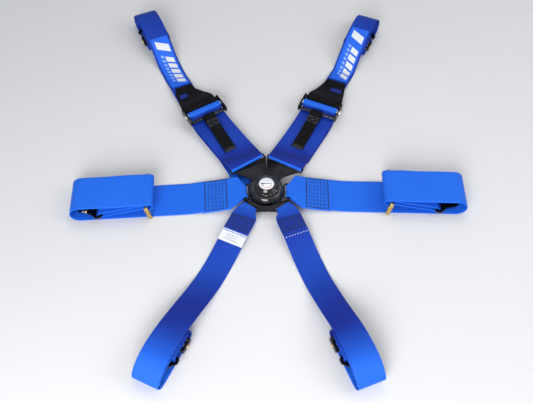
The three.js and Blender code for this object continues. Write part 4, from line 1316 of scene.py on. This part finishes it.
def lap_stitches(base, ribbon):
    """The box of black cross-hatched stitches that closes the loop round the tongue."""
    start, stop = ribbon.top_ways(79, 122)
    rows, columns, edge = 6, 8, 0.93
    runs = [row(start + (stop - start) * k / rows, edge) for k in range(rows + 1)]
    lines = [-edge + 2 * edge * k / columns for k in range(columns + 1)]
    runs += [[(start, a), (stop, a)] for a in lines]
    node = f"{base}_webbing"
    sew(f"{base}_box_stitches", node, ribbon, runs, BLACK_THREAD, 0.8, 3.2, 1.0)
    border = [box_run(start - 0.4, stop + 0.4, 0.945)]
    sew(f"{base}_border_stitches", node, ribbon, border, BLACK_THREAD, 1.0, 3.6, 0.4)


# ---- Crotch straps ----
def crotch_strap(side):
    spec = CROTCH[side]
    base = f"{side}_crotch"
    plan = Plan(spec["loop"], [(8, spec["at_tongue"]), (24, spec["crossing"]), (44, spec["away"])])
    line = [
        *smooth([(64, 13), (45, 13.6), (25, 12.6), (FOLD + 3, TONGUE_MID - TURN_REACH)]),
        *arc(FOLD, TONGUE_MID, TURN_REACH, 270, 90),
        *smooth([(FOLD + 3, TONGUE_MID + TURN_REACH), (25, 16.2), (45, 15.9), (64, 15.2)]),
        *rolled_end(spec["end"], [(90, 9), (118, 3), (145, GROUND), (175, 2.6), (215, 13), (260, 29)]),
    ]
    edges = tapering(29, 29, FOLD - 4, NARROW / 2, 13.5)
    ribbon = Ribbon(plan, line, NARROW, edges, seed=spec["seed"])
    stand_for(ribbon.mesh(f"{base}_strap", BLUE, 0.5, crotch_painted_light), f"{base}_webbing")
    rolled_hardware(base, plan, spec["end"])
    crotch_stitches(side, ribbon)
    if side == "left":
        care_label(plan, ribbon)


def crotch_stitches(side, ribbon):
    """A box of zigzags just outside the loop, and on the right a pale running stitch past it."""
    base = f"{side}_crotch"
    node = f"{base}_webbing"
    start, stop = ribbon.top_ways(31, 62)
    middle = start + (stop - start) / 2
    runs = [box_run(start, stop, 0.9)]
    for w0, w1 in ((start, middle), (middle, start), (middle, stop), (stop, middle)):
        runs.append(zigzag(w0, w1, -0.86, 0.86, 6))
    sew(f"{base}_box_stitches", node, ribbon, runs, BLACK_THREAD, 1.0, 3.4, 0.2)
    if side == "right":
        dark, pale = ribbon.top_ways(67, 71)
        sew(f"{base}_pale_stitches", node, ribbon, [row(pale, 0.94)], WHITE_THREAD, 1.0, 3.4, 2.4)
        sew(f"{base}_dark_stitches", node, ribbon, [row(dark, 0.94)], BLACK_THREAD, 0.7, 2.6, 0.6)


def care_label(plan, ribbon):
    """The white tag across the left strap, sewn along one edge, with three plain lines for its text."""
    line = ribbon.line_above(*ribbon.top_ways(67.5, 92), 30, WEB / 2 + GAP + 0.35)
    tape = Ribbon(plan, line, NARROW, thickness=0.7, step=1.5, ripple=0.08, seed=1.1)
    stand_for(tape.mesh("care_label_ribbon", LABEL), "care_label")
    sewn = [zigzag(0.8, 5.2, -0.97, 0.97, 18)]
    sew("care_label_stitches", "care_label", tape, sewn, BLUE_THREAD, 0.9, 2.4, 0.1)
    lines = [[(w, -0.88), (w, far)] for w, far in ((9.6, 0.86), (14.2, 0.7), (18.8, 0.82))]
    sew("care_label_lines", "care_label", tape, lines, GREY_THREAD, 0.6, 44.0, 0.1)


# ---- Stage, in metres ----
FLOOR_HALF = 6.0
FLOOR_LEVEL = -0.0004
SOFTBOXES = [
    ("key_light", (-0.35, -1.7, 1.0), (0.0, -0.1, 0.0), 1.1, 40),
    ("fill_light", (1.6, -0.3, 1.3), (0.0, 0.05, 0.0), 1.2, 12),
    ("back_light", (0.15, 0.92, 1.98), (0.0, 0.15, 0.0), 1.3, 10),
]
ELEVATION = math.radians(53.5)
DISTANCE = 1.327
TARGET = Vector((0, -0.0152, 0))
LENS = 45.25
SENSOR = 36


def stage():
    mesh = bpy.data.meshes.new("floor")
    corners = rectangle(-FLOOR_HALF, FLOOR_HALF, -FLOOR_HALF, FLOOR_HALF)
    mesh.from_pydata([(x, y, FLOOR_LEVEL) for x, y in corners], [], [(0, 1, 2, 3)])
    floor = linked("floor", mesh)
    s = Shader("pale_floor")
    tone = s.noise(3.0, 2.0)
    s.set(Base_Color=s.mix(tone, rgb(0.70, 0.70, 0.71), rgb(0.74, 0.74, 0.75)), Roughness=0.75)
    mesh.materials.append(s.material)

    world = bpy.data.worlds.new("studio")
    world.use_nodes = True
    background = world.node_tree.nodes["Background"]
    background.inputs["Color"].default_value = rgb(0.93, 0.96, 1.0)
    background.inputs["Strength"].default_value = 0.36
    bpy.context.scene.world = world
    for name, place, target, size, watts in SOFTBOXES:
        light = bpy.data.lights.new(name, "AREA")
        light.energy = watts
        light.size = size
        holder = linked(name, light)
        holder.location = place
        holder.rotation_euler = (Vector(target) - Vector(place)).to_track_quat("-Z", "Y").to_euler()


def camera():
    """Looks along +Y, down at the buckle."""
    bpy.context.scene.view_settings.view_transform = "Standard"
    lens = bpy.data.cameras.new("camera")
    lens.lens = LENS
    lens.sensor_width = SENSOR
    holder = linked("camera", lens)
    holder.location = TARGET + DISTANCE * Vector((0, -math.cos(ELEVATION), math.sin(ELEVATION)))
    holder.rotation_euler = (math.pi / 2 - ELEVATION, 0, 0)
    bpy.context.scene.camera = holder


camera()
stage()
buckle()
base_plate()
internals()
crotch_tongue()
for side in SIDES:
    shoulder_strap(side)
    lap_strap(side)
    crotch_strap(side)

bpy.context.view_layer.update()
